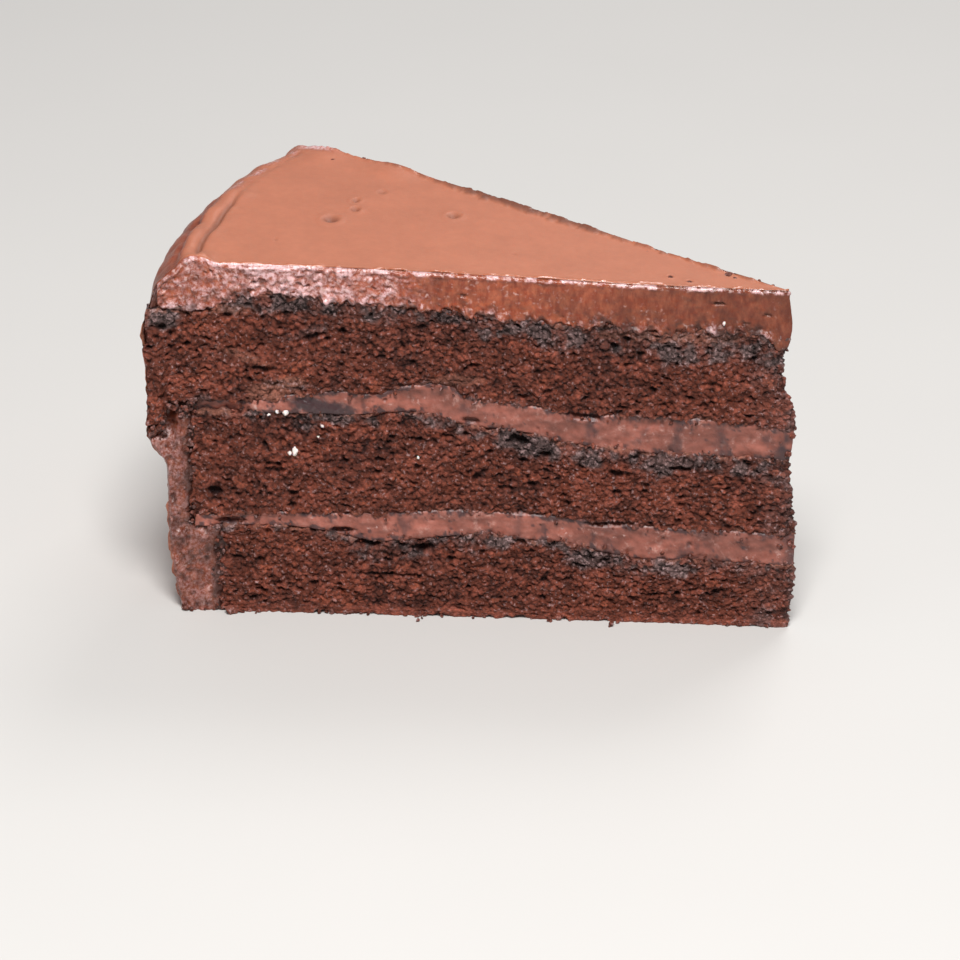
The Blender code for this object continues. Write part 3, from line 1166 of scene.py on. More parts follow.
@dataclass(frozen=True)
class FillingLayer:
    """Buttercream between two sponge layers."""

    name: str
    node: str
    over: Table
    under: Table
    seed: int
    # Dark bars where the knife dragged crumb down the front cut: ring, width, share.
    drags: tuple[tuple[float, float, float], ...]
    # Rings between which the filling thins out; past its end, it doesn't.
    thin_from: float = 120.0
    thin_to: float = 126.0
    end: float = SLICE.middle_end
    rows: int = 24
    across_cells: int = 8
    station: float = 0.32
    # How far the cream goes into the crumb above and below.
    tuck_in: float = 1.5

    def build(self, finish: bpy.types.Material) -> bpy.types.Object:
        """Loft the filling.

        Args:
            finish: Material of the cut cream.

        Returns:
            The piece.
        """
        ring = SLICE.stations(self.end, self.station)[:, None]
        rise = np.linspace(0.0, 1.0, self.rows + 1)
        step = np.linspace(0.0, 1.0, self.across_cells + 1)[1:-1]
        return Loft(self.name, (
            self.face(ring, rise, Cut.FRONT),
            self.lid(ring, step[None, :], self.over, self.tuck_in),
            self.face(ring, rise[::-1], Cut.BACK),
            self.lid(ring, step[None, ::-1], self.under, -self.tuck_in),
        )).build(finish)

    def lid(self, ring: Array, across: Array, table: Table, past: float) -> Strip:
        """Top or bottom of the filling between the cuts, so far past its joint."""
        return Strip(SLICE.place(ring, across, SLICE.level(table, ring, across) + past), HIDDEN_CREAM)

    def face(self, ring: Array, rise: Array, cut: Cut) -> Strip:
        """One cut of the filling.

        Args:
            ring: Distance from the apex.
            rise: Heights in the filling from 0 to 1.
            cut: Which cut.

        Returns:
            The cut.
        """
        across = np.full_like(ring, cut.value)
        high = SLICE.level(self.over, ring, across) + self.tuck_in
        low = SLICE.level(self.under, ring, across) - self.tuck_in
        points = SLICE.place(ring, across, low + (high - low) * rise[None, :])
        face = CutFace(points, self.seed, ring, cut)
        height = 0.30 * face.noise(3.6, 0, level=0.45, upright=1.6) + 0.20 * face.noise(1.2, 4)
        bubble, _, size = face.grains(3.3, 8)
        radius = 0.05 + 0.10 * size
        height -= 0.45 * ease(radius * 1.3, radius * 0.5, bubble)
        height -= face.holes(POCKETS)
        # Crumb covers the cream past its joints, and it lies deep where it thins out.
        thin = ease(self.thin_to, self.thin_from, ring)
        slim = SLICE.slim(ring)
        from_joint = np.minimum(high - points[..., 2], points[..., 2] - low) - self.tuck_in
        covered = ease(-0.1, -0.9, from_joint)
        push = (0.02 + height) * slim - 1.2 * (1.0 - thin) - 1.1 * covered * slim
        face = face.at(face.pushed(push))
        return Strip(face.points, self.marks(face, height, from_joint))

    def marks(self, face: CutFace, height: Array, from_joint: Array) -> Marks:
        """What the finish reads on a cut.

        Args:
            face: The cut with its relief.
            height: Height of its relief.
            from_joint: Distance inside the nearest joint.

        Returns:
            The marks.
        """
        # The relief mark darkens the low places as painted shade, and the raised places get some paler fat as
        # painted highlight.
        relief = np.clip(0.6 + 1.1 * height, 0.0, 1.0)
        near = bell(np.clip(from_joint, 0.0, None), 0.0, 0.7)
        dirt_and_shade = 0.85 * ease(0.55, 0.95, face.noise(1.3, 30, 4, 0.6) + 0.75 * near)
        dirt_and_shade = np.maximum(dirt_and_shade, 0.6 * ease(0.42, 0.95, face.noise(2.2, 36, level=0.9, upright=0.5)))
        for middle, width, share in self.drags if face.cut is Cut.FRONT else ():
            bar = bell(face.ring + 0.8 * face.noise(2.2, 37), middle, width)
            dirt_and_shade = np.maximum(dirt_and_shade, share * bar * ease(-0.9, 0.3, face.noise(1.5, 38, 2)))
        wet_smear = face.smeared(WET_SMEAR)
        tone = 0.5 + 0.36 * face.noise(5.0, 41, 4, 0.6, level=0.7, upright=1.6)
        return {
            "relief": relief,
            "cut": 1.0,
            "dirt_and_shade": np.maximum(dirt_and_shade, 0.95 * wet_smear),
            "gloss": np.maximum(0.8 * ease(0.45, 0.8, face.noise(1.4, 39, 2)), wet_smear),
            "tone": tone - 0.1 * ease(45.0, 25.0, face.ring),
            "fat_and_glint": 0.5 * ease(0.20, 0.9, face.noise(1.7, 43, 4, 0.6)) + 0.25 * ease(0.6, 1.0, relief),
        }


FILLING_LAYERS = (
    FillingLayer("filling_lower_cream", "filling_lower", SLICE.lower_filling_top, SLICE.lower_filling_bottom,
                 SEED + 4, ((1.8, 1.6, 0.8), (15.5, 1.1, 0.4), (33.0, 1.3, 0.5), (49.0, 1.0, 0.4))),
    FillingLayer("filling_upper_cream", "filling_upper", SLICE.upper_filling_top, SLICE.upper_filling_bottom,
                 SEED + 5, ((36.2, 1.0, 0.8), (20.9, 0.9, 0.7), (13.0, 1.2, 0.75), (2.4, 2.2, 0.95)),
                 thin_from=97.0, thin_to=103.0),
)


# --- Icing -----------------------------------------------------------------


@dataclass(frozen=True)
class Dent:
    """A small mark in the top of the icing."""

    ring: float
    across: float
    width: float
    depth: float

    def gone(self, ring: Array, across: Array) -> Array:
        """Distance from the dent's middle, in widths of the dent.

        Args:
            ring: Distance from the apex.
            across: Place across the wedge.

        Returns:
            Distances in parts of the width.
        """
        angle, turn = SLICE.bearing(across), SLICE.bearing(self.across)
        x = ring * np.cos(angle) - self.ring * math.cos(turn)
        y = ring * np.sin(angle) - self.ring * math.sin(turn)
        return np.hypot(x, y) / self.width


@dataclass(frozen=True)
class CoatLine:
    """Line that the outer skin follows from the tip over the rim to the base, a row a station."""

    ring: Array
    height: Array

    @property
    def on_top(self) -> Array:
        """Which stations lie on the top."""
        return (self.ring < SLICE.top_sponge_end) & (self.height > 60.0)


@dataclass(frozen=True)
class IcingCoat:
    """Icing over the top that turns down over the rim to the base."""

    name: str = "icing_coat"
    seed: int = SEED + 900
    front_rows: int = 34
    top_cells: int = 84
    inner_cells: int = 8
    station: float = 0.34
    wall_station: float = 0.5
    # Where the top starts to turn down, and how far it has dropped at the end of the sponge.
    flat_from: float = 107.0
    corner_drop: float = 4.8
    # Two grooves that the spatula left along the rim, and the ridge between them.
    groove_at: float = 109.2
    groove_depth: float = 0.95
    groove_width: float = 0.75
    ridge_at: float = 111.6
    ridge_height: float = 0.5
    crease_at: float = 113.0
    crease_depth: float = 0.6
    # Lump at the front corner, and the crumb dragged up along the back edge.
    lump_at: float = 109.4
    lump_height: float = 1.6
    fringe_height: float = 0.45
    # How far the coat goes into the sponge, and its inner side by the heights of its outer one.
    overlap: float = 0.7
    outside_heights: tuple[float, ...] = (66.8, 43.0, 38.0, 20.0, 15.0, 0.0)
    inside_heights: tuple[float, ...] = (62.0, 43.0, 42.8, 18.2, 18.0, 0.0)
    dents: tuple[Dent, ...] = (
        Dent(88.5, 0.45, 1.9, 0.85), Dent(87.4, 0.65, 1.0, 0.7), Dent(85.9, 0.57, 1.2, 0.8),
        Dent(68.2, 0.70, 1.6, 0.6), Dent(84.8, 0.77, 1.2, 0.3), Dent(22.8, 0.33, 0.7, 0.5),
        Dent(19.1, 0.25, 0.7, 0.5), Dent(52.0, 0.35, 0.5, 0.25), Dent(96.0, 0.22, 0.5, 0.3),
    )

    def build(self, finish: bpy.types.Material) -> bpy.types.Object:
        """Loft the coat.

        Args:
            finish: Material of the buttercream.

        Returns:
            The piece.
        """
        line = self.outer_line()
        even = np.linspace(0.0, 1.0, self.top_cells + 1)
        closer_at_edges = 0.45 * even + 0.55 * (1.0 - np.cos(math.pi * even)) / 2.0
        return Loft(self.name, (
            IcingEdge(self, line, Cut.FRONT).build(),
            IcingSkin(self, line, closer_at_edges[None, 1:-1]).build(),
            IcingEdge(self, line, Cut.BACK).build().turned(),
            self.inside(line),
        )).build(finish)

    def outer_line(self) -> CoatLine:
        """Lay the outer skin's line from the tip over the rim to the base.

        Returns:
            The line, with its stations evenly apart down the rim.
        """
        ring = SLICE.stations(SLICE.top_sponge_end, self.station)[:-1]
        turn = np.clip(ring - self.flat_from, 0.0, None) / (SLICE.top_sponge_end - self.flat_from)
        top = SLICE.top(ring) - self.corner_drop * turn ** 2.4
        wall = np.arange(66.4, 0.0, -0.1)
        fine_ring = np.concatenate((ring, SLICE.rim(wall), [SLICE.rim(0.0)]))
        fine_height = np.concatenate((top, wall, [0.0]))
        gone = np.concatenate(([0.0], np.cumsum(np.hypot(np.diff(fine_ring), np.diff(fine_height)))))
        down = np.arange(gone[len(ring) - 1] + 0.3, gone[-1], self.wall_station)
        stops = np.concatenate((gone[:len(ring)], down, [gone[-1]]))[:, None]
        return CoatLine(np.interp(stops, gone, fine_ring), np.interp(stops, gone, fine_height))

    def joint(self, line: CoatLine, across: Array) -> tuple[Array, Array]:
        """Inner side of the coat, where it meets the sponge.

        Args:
            line: Line that the outer skin follows.
            across: Places across the wedge.

        Returns:
            Distances from the apex and heights.
        """
        wide, mid, narrow = SLICE.top_sponge_end, SLICE.middle_end, SLICE.bottom_sponge_end
        radii = np.array((wide, wide, mid, mid, narrow, narrow)) - self.overlap
        outside = self.outside_heights[::-1]
        wall_ring = np.interp(line.height, outside, radii[::-1])
        wall_height = np.interp(line.height, outside, self.inside_heights[::-1])
        top_height = SLICE.level(SLICE.under_icing, line.ring, across) - self.overlap
        ring, height = np.broadcast_arrays(np.where(line.on_top, line.ring, wall_ring),
                                           np.where(line.on_top, top_height, wall_height))
        return ring, height

    def inside(self, line: CoatLine) -> Strip:
        """Hidden side of the coat, against the sponge.

        Args:
            line: Line that the outer skin follows.

        Returns:
            The strip.
        """
        across = np.linspace(1.0, 0.0, self.inner_cells + 1)[None, 1:-1]
        ring, height = self.joint(line, across)
        return Strip(SLICE.place(ring, across, height), HIDDEN_CREAM)

    def slump(self, points: Array, ring: Array, height: Array, across: Array) -> Array:
        """Lift and fall of the coat's corners at the rim.

        Args:
            points: Positions in millimetres.
            ring: Distance from the apex.
            height: Height above the base.
            across: Place across the wedge.

        Returns:
            Changes of height in millimetres.
        """
        fall = 0.45 * ease(104.0, 110.0, ring) * ease(0.68, 1.0, across)
        lift = 0.5 * bell(ring, 103.6, 3.2) + 0.8 * bell(ring, 88.0, 5.0)
        fall = fall - lift * ease(0.86, 0.97, across)
        lump = bell(ring, self.lump_at, 2.9, 3) * ease(5.5, 0.8, across * SLICE.arc(ring))
        lump = lump * (self.lump_height + 0.6 * rough(points, 2.2, self.seed + 14, 3))
        return (lump - fall) * ease(60.0, 66.0, height)

    def fringe(self, points: Array, ring: Array, inward: Array) -> Array:
        """Crumb that the knife dragged up along the back edge.

        Args:
            points: Positions in millimetres.
            ring: Distance from the apex.
            inward: Distance from the back edge.

        Returns:
            How much of it there is, from 0 to 1.
        """
        strong = ease(34.0, 46.0, ring) * ease(86.0, 70.0, ring)
        width = 1.0 + 1.4 * strong
        near = inward + 0.8 * rough(points, 1.6, self.seed + 76, 3)
        share = ease(4.0, 10.0, ring) * ease(100.0, 90.0, ring) * (0.6 + 0.4 * strong)
        return ease(width, 0.4 * width, near) * share

    def bead(self, points: Array, to_edge: Array) -> Array:
        """Height of the small lip that the knife pulls up along an edge."""
        size = 0.08 + 0.34 * ease(-0.4, 0.6, rough(points, 1.5, self.seed + 70, 3))
        return size * bell(to_edge, 0.55, 0.4)


class IcingEdge:
    """Knife-cut edge of the coat on one cut, from the sponge out to its skin."""

    def __init__(self, coat: IcingCoat, line: CoatLine, cut: Cut) -> None:
        """Lay the edge out before its relief, and find its zones.

        Args:
            coat: Sizes of the coat.
            line: Line that the outer skin follows.
            cut: Which cut.
        """
        self.coat, self.line, self.cut = coat, line, cut
        self.on_top, self.on_wall = line.on_top, 1.0 - line.on_top
        self.across = np.full_like(line.ring, cut.value)
        ring, height = coat.joint(line, self.across)
        seed = coat.seed + int(cut.value) * 50
        joint = Ground(SLICE.place(ring, self.across, height), seed)
        # The knife smears cream down over the crumb, and most of it at the tip.
        smear = ease(-0.3, 0.7, joint.noise(2.6, 3, 3, 0.6, upright=0.2))
        smear = smear * self.on_top * ease(106.0, 102.0, ring)
        self.nose = ease(6.0, 3.0, ring)
        self.smear = np.maximum(smear, self.nose * self.on_top)
        wander = 0.40 * joint.noise(1.1, 4, 2, upright=0.2)
        height = height + (0.1 - 0.75 * smear + wander - 1.9 * self.nose) * self.on_top
        self.rise = np.linspace(0.0, 1.0, coat.front_rows + 1)[None, :]
        self.ring = ring + (line.ring - ring) * self.rise
        self.height = height + (line.height - height) * self.rise
        self.from_joint = self.height - height
        self.to_edge = np.hypot(line.ring - self.ring, line.height - self.height)
        sponge_end = np.where(self.height > 18.1, SLICE.middle_end, SLICE.bottom_sponge_end)
        self.past_sponge = self.ring - sponge_end
        self.face = CutFace(SLICE.place(self.ring, self.across, self.height), seed, self.ring, cut)
        self.noise = self.face.noise
        # Zones: drawn smooth near the tip and worked into lumps towards the rim, a lumpy hem
        # along the joint, a rough strip beside the lower sponges, and a lip at the edge.
        self.worked = ease(54.0, 92.0, self.ring + 8.0 * self.noise(10.0, 1, 4, 0.6))
        self.wall = ease(50.0, 44.0, self.height)
        self.hem = ease(3.4, 1.0, self.from_joint) * self.on_top
        self.lip = ease(1.05, 0.35, self.to_edge) * (1.0 - self.wall)
        self.toward_tip = ease(52.0, 10.0, self.ring)
        self.wet = ease(-0.25, 0.5, self.noise(2.2, 38))
        shift = 0.3 * self.noise(1.0, 2, 2)[..., None]
        away, _, own = grains(self.face.points + shift, 1.0, seed)
        self.bumps = dome(away, 0.62) * (0.4 + 0.9 * own)
        self.out = self.relief()
        # The relief mark darkens slits, nicks and other low places as painted shade; the glint share marks
        # where painted highlights and glint spots go.
        self.raised_lit = np.clip(0.6 + 1.1 * self.out, 0.0, 1.0)
        self.glint = ease(0.62, 0.95, self.raised_lit)

    def build(self) -> Strip:
        """Put the edge together.

        Returns:
            The edge, with its relief.
        """
        tone = 0.48 - 0.40 * self.toward_tip + 0.26 * self.noise(3.4, 41, 4, 0.65) - 0.32 * self.wall
        return Strip(self.moved(), {
            "relief": self.raised_lit, "cut": 1.0, "dirt_and_shade": self.dirt_and_shade(), "gloss": self.gloss(), "tone": tone,
            "fat_and_glint": self.fat_and_glint(),
        })

    def relief(self) -> Array:
        """Lumps, drag marks, slits and nicks.

        Returns:
            Heights out of the cut in millimetres.
        """
        lumpy = np.maximum(np.maximum(self.worked, 0.9 * self.hem), self.wall)
        height = (0.08 + 0.30 * lumpy) * self.bumps
        height += (0.20 + 0.16 * lumpy) * self.noise(2.4, 6, 4, 0.6)
        height += 0.26 * self.noise(1.8, 9, 4, 0.6, level=1.3, upright=0.35) * (1.0 - 0.6 * self.worked)
        if self.cut is Cut.FRONT:
            height -= self.face.holes(ICING_SLITS)
        nick, _, size = self.face.grains(3.0, 11, 0.5, 1.6)
        height -= 0.45 * ease(0.14, 0.05, nick) * ease(0.35, 0.6, size)
        height += self.wall * 0.65 * self.noise(3.4, 13, 4, 0.55)
        return height

    def moved(self) -> Array:
        """Move the edge out of the cut and down or up at its corners.

        Returns:
            Positions in millimetres.
        """
        points, slim = self.face.points, SLICE.slim(self.ring)
        push = (0.14 + self.out) * slim * ease(0.0, 0.5, self.to_edge)
        push += 0.5 * self.smear * ease(2.6, 0.6, self.from_joint) * slim
        push -= 0.6 * ease(0.6, 0.0, self.from_joint) * self.on_top * slim
        push -= 0.8 * ease(1.6, 0.2, self.past_sponge) * self.on_wall
        push += self.coat.bead(points, self.to_edge) - 0.30 * ease(0.42, 0.0, self.to_edge)
        if self.cut is Cut.FRONT:
            # The flap of the upper sponge covers the coat here, and the coat lies deeper under it.
            behind_flap = ease(35.6, 37.4, self.height) * ease(62.6, 61.0, self.height)
            push -= 2.4 * behind_flap * ease(112.6, 114.6, self.ring)
            push -= 0.7 * ease(39.0, 42.5, self.height) * self.on_wall
        moved = self.face.pushed(push)
        slump = self.coat.slump(points, self.ring, self.line.height, self.across)
        moved[..., 2] += slump * self.rise * self.rise
        if self.cut is Cut.BACK:
            fringe = self.coat.fringe(points, self.ring, self.to_edge) * self.on_top
            moved[..., 2] += self.coat.fringe_height * fringe * ease(1.5, 0.0, self.to_edge)
        return moved

    def dirt_and_shade(self) -> Array:
        """Crumb dragged into the cream from the joint and from the lower sponges, painted shade along the
        seam with the sponge, and a darker band high on the strip.

        Returns:
            Shares from 0 to 1.
        """
        film = self.noise(1.5, 30) + 0.9 * bell(self.from_joint, 0.0, 1.0 + 1.2 * self.toward_tip)
        dirt_and_shade = 0.75 * ease(0.35, 0.8, film) * self.on_top * ease(5.0, 1.0, self.from_joint)
        dirt_and_shade = dirt_and_shade * (1.0 - 0.6 * self.nose)
        grime = 0.7 * ease(0.05, 0.85, self.noise(1.8, 33, 4, 0.65))
        # Crumb and painted shade along the seam with the sponge's end.
        seam_crumb_and_shade = 0.85 * ease(2.5, 0.9, self.past_sponge + 0.7 * self.noise(1.6, 35))
        under = 0.75 * ease(37.5, 42.0, self.height + 1.2 * self.noise(2.0, 36)) * self.on_wall
        return np.maximum(np.maximum(dirt_and_shade, self.wall * np.maximum(grime, seam_crumb_and_shade)), under)

    def gloss(self) -> Array:
        """How wet the cream looks, most of all on the lip; it also places the painted glint spots.

        Returns:
            Shares from 0 to 1.
        """
        smooth = np.maximum(self.worked * (0.35 + 0.65 * self.wet), 0.9 * self.hem * self.wet)
        speckled = ease(35.0, 55.0, self.ring) * (0.35 + 0.5 * self.wet)
        glint_spots = np.maximum(0.5 * self.glint, speckled)
        return np.maximum(np.maximum(smooth, glint_spots), self.lip) * (1.0 - 0.4 * self.wall)

    def fat_and_glint(self) -> Array:
        """Pale fat and painted highlights on the lumps towards the rim, painted glints on the hem and in
        beads on the lip, and pale fat on the strip.

        Returns:
            Shares from 0 to 1.
        """
        fat_and_highlight = self.worked * (0.65 + 0.40 * self.wet) * (1.0 - 0.4 * ease(98.0, 104.0, self.ring))
        fat_and_highlight = fat_and_highlight * (0.75 + 0.25 * ease(62.0, 86.0, self.ring + 9.0 * self.noise(3.0, 44)))
        fat_and_highlight = fat_and_highlight * (0.62 + 0.62 * ease(-0.15, 0.75, self.bumps))
        hem = 0.85 * self.hem * self.glint * (0.4 + 0.6 * self.wet) * (1.0 - self.nose)
        lip_glints = self.lip * (0.1 + 0.95 * ease(-0.25, 0.3, self.noise(1.2, 46, 2)))
        above = np.maximum(fat_and_highlight * (1.0 - self.wall) + hem, lip_glints)
        strip = (0.30 + 0.10 * self.glint) * ease(43.0, 36.0, self.height)
        return np.clip(above * (1.0 - self.wall) + self.wall * strip, 0.0, 1.0)


class IcingSkin:
    """Spread surface of the coat over the top and down the rim."""

    def __init__(self, coat: IcingCoat, line: CoatLine, across: Array) -> None:
        """Lay the surface out before its relief, and find its zones.

        Args:
            coat: Sizes of the coat.
            line: Line that the outer skin follows.
            across: Places across the wedge.
        """
        self.coat, self.line = coat, line
        self.ring, self.height, self.across = np.broadcast_arrays(line.ring, line.height, across)
        self.ground = Ground(SLICE.place(self.ring, self.across, self.height), coat.seed)
        self.noise = self.ground.noise
        self.from_front = self.across * SLICE.arc(self.ring)
        self.from_back = (1.0 - self.across) * SLICE.arc(self.ring)
        self.to_edge = np.minimum(self.across, 1.0 - self.across) * SLICE.arc(self.ring)
        self.wall = ease(66.0, 58.0, self.height)
        self.at_rim = ease(60.0, 66.0, self.height)
        self.low = ease(50.0, 44.0, self.height)
        # The spatula's marks are deep on the front half, but not in its very corner.
        self.marked = 0.12 + 0.88 * ease(0.68, 0.35, self.across) * ease(1.5, 7.0, self.from_front)
        self.grooved = self.ring + 0.9 * self.noise(16.0, 10, 2, upright=0.1) - coat.groove_at
        self.groove = self.marked * bell(self.grooved, 0.0, coat.groove_width)
        self.fringe = coat.fringe(self.ground.points, self.ring, self.from_back) * self.at_rim

    def build(self) -> Strip:
        """Give the surface its relief.

        Returns:
            The surface.
        """
        dents, dent_shade = self.dents()
        push = self.relief() - dents
        points = self.moved(push)
        # Painted shade: the outer band of the rim, the groove, the slope inside it, the wall and the low
        # places are darkened through the relief, cut and tone marks; the lip gets painted glint spots.
        shaded = ease(110.9, 112.4, self.ring) * (0.45 + 0.55 * ease(0.75, 0.45, self.across))
        shaded = shaded * ease(58.0, 64.0, self.height)
        inner_slope_shade = self.marked * bell(self.grooved, -1.6, 1.6) * self.at_rim
        relief = np.clip(0.75 + 0.5 * push, 0.0, 1.0)
        relief = relief - 0.28 * self.wall - 0.5 * shaded - 0.5 * self.groove - 0.28 * inner_slope_shade
        # Painted highlights on the rim's ridge and back corner.
        fat_and_glint = self.painted_rim_glint(points)
        return Strip(points, {
            "relief": np.clip(relief, 0.0, 1.0),
            "cut": np.maximum(fat_and_glint, shaded),
            "dirt_and_shade": np.maximum(self.dirt_and_shade(), dent_shade),
            "gloss": np.maximum(0.9 * ease(1.1, 0.4, self.to_edge), fat_and_glint),
            "tone": 0.5 - 0.1 * shaded,
            "fat_and_glint": fat_and_glint,
        })

    def relief(self) -> Array:
        """Waves, bands and grooves of the spatula, and the lip along the cuts.

        Returns:
            Heights out of the surface in millimetres.
        """
        coat = self.coat
        push = 0.10 * self.noise(17.0, 3, 2)
        push += self.wall * 0.55 * self.noise(15.0, 5, upright=2.0)
        push += self.wall * 0.12 * self.noise(5.0, 7, 2, upright=4.0)
        push += self.wall * 0.16 * self.noise(4.0, 16, 3, 0.6, level=0.5, upright=3.0)
        push += self.low * 0.42 * (0.2 + 0.8 * ease(12.0, 3.0, self.from_front)) * self.noise(2.6, 12)
        creased = self.ring + 0.9 * self.noise(12.0, 15, 2, upright=0.1)
        crease = self.marked * bell(creased, coat.crease_at, 0.75)
        push -= coat.crease_depth * crease * ease(58.0, 62.0, self.height)
        uneven = ease(104.0, 110.0, self.ring) * ease(58.0, 66.0, self.height)
        push += uneven * 0.50 * self.noise(5.0, 8, upright=0.3)
        push += coat.ridge_height * self.marked * bell(self.ring, coat.ridge_at, 1.6) * self.at_rim
        push -= coat.groove_depth * self.groove * self.at_rim
        push += coat.bead(self.ground.points, self.to_edge) * ease(0.0, 0.5, self.to_edge)
        return push - 0.22 * ease(0.42, 0.0, self.to_edge)

    def dents(self) -> tuple[Array, Array]:
        """Round hollows in the top, each with a low ring round it and painted shade in it.

        Returns:
            Depths in millimetres, and shares of painted shade from 0 to 1.
        """
        depth, dirt_and_shade = np.zeros(self.ring.shape), np.zeros(self.ring.shape)
        for dent in self.coat.dents:
            gone = dent.gone(self.ring, self.across)
            depth += dent.depth * (bell(gone, 0.0, 0.6) - 0.25 * bell(gone, 1.1, 0.35))
            # Painted shade in the dent.
            dirt_and_shade = np.maximum(dirt_and_shade, 0.65 * dent.depth * bell(gone, 0.0, 0.75, 4))
        return depth * (self.wall < 0.5), dirt_and_shade * (self.wall < 0.5)

    def moved(self, push: Array) -> Array:
        """Move the surface out, square to the line that it follows, and never below the floor.

        Args:
            push: Its relief.

        Returns:
            Positions in millimetres.
        """
        along_ring, along_height = np.gradient(self.line.ring[:, 0]), np.gradient(self.line.height[:, 0])
        step = np.hypot(along_ring, along_height)
        out, up = (-along_height / step)[:, None] * push, (along_ring / step)[:, None] * push
        angle = SLICE.bearing(self.across)
        points = self.ground.points + np.stack((-np.cos(angle) * out, np.sin(angle) * out, up), axis=-1)
        lifted = self.coat.slump(points, self.ring, self.height, self.across)
        points[..., 2] += lifted + self.coat.fringe_height * self.fringe
        points[..., 2] = np.maximum(points[..., 2], 0.0)
        return points

    def dirt_and_shade(self) -> Array:
        """Crumb in the skin, low on the rim beside the front cut and in the fringe.

        Returns:
            Shares from 0 to 1.
        """
        low = 0.4 * self.low * ease(0.1, 0.9, self.noise(1.6, 33, 4, 0.6))
        low = low * (0.15 + 0.85 * ease(7.0, 1.0, self.from_front))
        return np.maximum(low, 0.66 * self.fringe)

    def painted_rim_glint(self, points: Array) -> Array:
        """Painted highlights on the rough ridge on the back half of the rim, and on the corner at the back.

        Args:
            points: Positions with the relief, in millimetres.

        Returns:
            Shares from 0 to 1.
        """
        near_top = ease(62.0, 66.0, self.height)
        ridge = 0.75 * bell(self.ring, 111.3, 1.6) * near_top * ease(0.4, 0.7, self.across)
        ridge = ridge * ease(-0.5, 0.4, rough(points, 1.5, self.coat.seed + 75, 3))
        corner = 0.9 * bell(self.ring, 107.5, 5.0, 3) * ease(3.6, 1.2, self.from_back) * near_top
        return np.maximum(ridge, corner)


# --- Loose crumbs ----------------------------------------------------------


@dataclass(frozen=True)
class SugarFinish:
    """Grains of undissolved sugar, milky and a little see-through."""

    colour: str = "#E9DED8"
    # Cloudy places take up about half a grain of 0.8 mm.
    cloud_size: float = 0.4
    roughness: float = 0.32
    subsurface: float = 0.3
    # Light soaks the whole grain through.
    soak: float = 0.8

    def build(self) -> bpy.types.Material:
        """Make the material.

        Returns:
            The material.
        """
        made, tree, shader = new_material("sugar_grain")
        where = add(tree, "TexCoord", {}, out="Object")
        cloudy = add(tree, "TexNoise", {0: where, "Scale": 1.0 / (self.cloud_size * MM)})
        cloudy = add(tree, "MapRange", {0: cloudy, 1: 0.3, 2: 0.7, 3: 0.85, 4: 1.1})
        colour = add(tree, "Mix", {0: 1.0, 6: linear(self.colour), 7: cloudy}, TINT, 2)
        tree.links.new(colour, shader.inputs["Base Color"])
        shader.inputs["Roughness"].default_value = self.roughness
        shader.inputs["Subsurface Weight"].default_value = self.subsurface
        shader.inputs["Subsurface Scale"].default_value = self.soak * MM
        return made


class Bits:
    """Many small irregular lumps kept in one mesh."""

    # Radius in millimetres from which a lump gets the finer ball.
    FINE_FROM = 0.55

    def __init__(self, name: str, seed: int) -> None:
        """Start with no lumps.

        Args:
            name: Name of the piece.
            seed: Which random draws.
        """
        self.name = name
        self.draw = np.random.default_rng(seed)
        self.balls = {level: self.ball(level) for level in (2, 3)}
        self.points: list[Array] = []
        self.corners: list[Array] = []
        self.tone: list[Array] = []
        self.dark: list[Array] = []
        self.count = 0

    @staticmethod
    def ball(level: int) -> tuple[Array, Array]:
        """Make an even ball of triangles.

        Args:
            level: How finely it is divided.

        Returns:
            Positions and corner numbers.
        """
        mesh = bmesh.new()
        bmesh.ops.create_icosphere(mesh, subdivisions=level, radius=1.0)
        points = np.array([tuple(vertex.co) for vertex in mesh.verts])
        corners = np.array([[vertex.index for vertex in face.verts] for face in mesh.faces])
        mesh.free()
        return points, corners

    def drop(self, spot: Array, size: float, dark: float, sink: float = 0.0) -> None:
        """Add one lump.

        Args:
            spot: Where its middle goes, in millimetres.
            size: Its radius in millimetres.
            dark: Share of dark crust in its colour.
            sink: How far it is pressed flat against the floor.
        """
        points, corners = self.balls[3 if size > self.FINE_FROM else 2]
        moved = points + self.draw.uniform(-50.0, 50.0, 3)
        bulge = np.clip(1.0 + 0.55 * rough(moved, 0.95, 5, 3), 0.45, 1.6)
        turn = np.linalg.qr(self.draw.normal(size=(3, 3)))[0]
        shape = points * bulge[:, None] * self.draw.uniform(0.55, 1.2, 3) @ turn * size
        lump = shape + spot
        lump[:, 2] = np.maximum(lump[:, 2], 0.0) if sink else lump[:, 2]
        self.points.append(lump)
        self.corners.append(corners + self.count)
        self.count += len(points)
        # Parts of a lump that bulge out get a lighter tone, as painted light.
        self.tone.append(np.clip(self.draw.uniform(0.3, 0.75) + 0.8 * (bulge - 1.0), 0.0, 1.0))
        self.dark.append(np.full(len(points), dark))

    def build(self, material: bpy.types.Material) -> bpy.types.Object:
        """Make the mesh object.

        Args:
            material: Finish of the lumps.

        Returns:
            The new object.
        """
        points, corners = np.concatenate(self.points), np.concatenate(self.corners)
        tone = np.concatenate(self.tone)
        marks = {"relief": tone * 0.6 + 0.35, "tone": tone, "skin": np.concatenate(self.dark)}
        return make_piece(self.name, points, corners.ravel(), np.arange(len(corners)) * 3, marks, material)


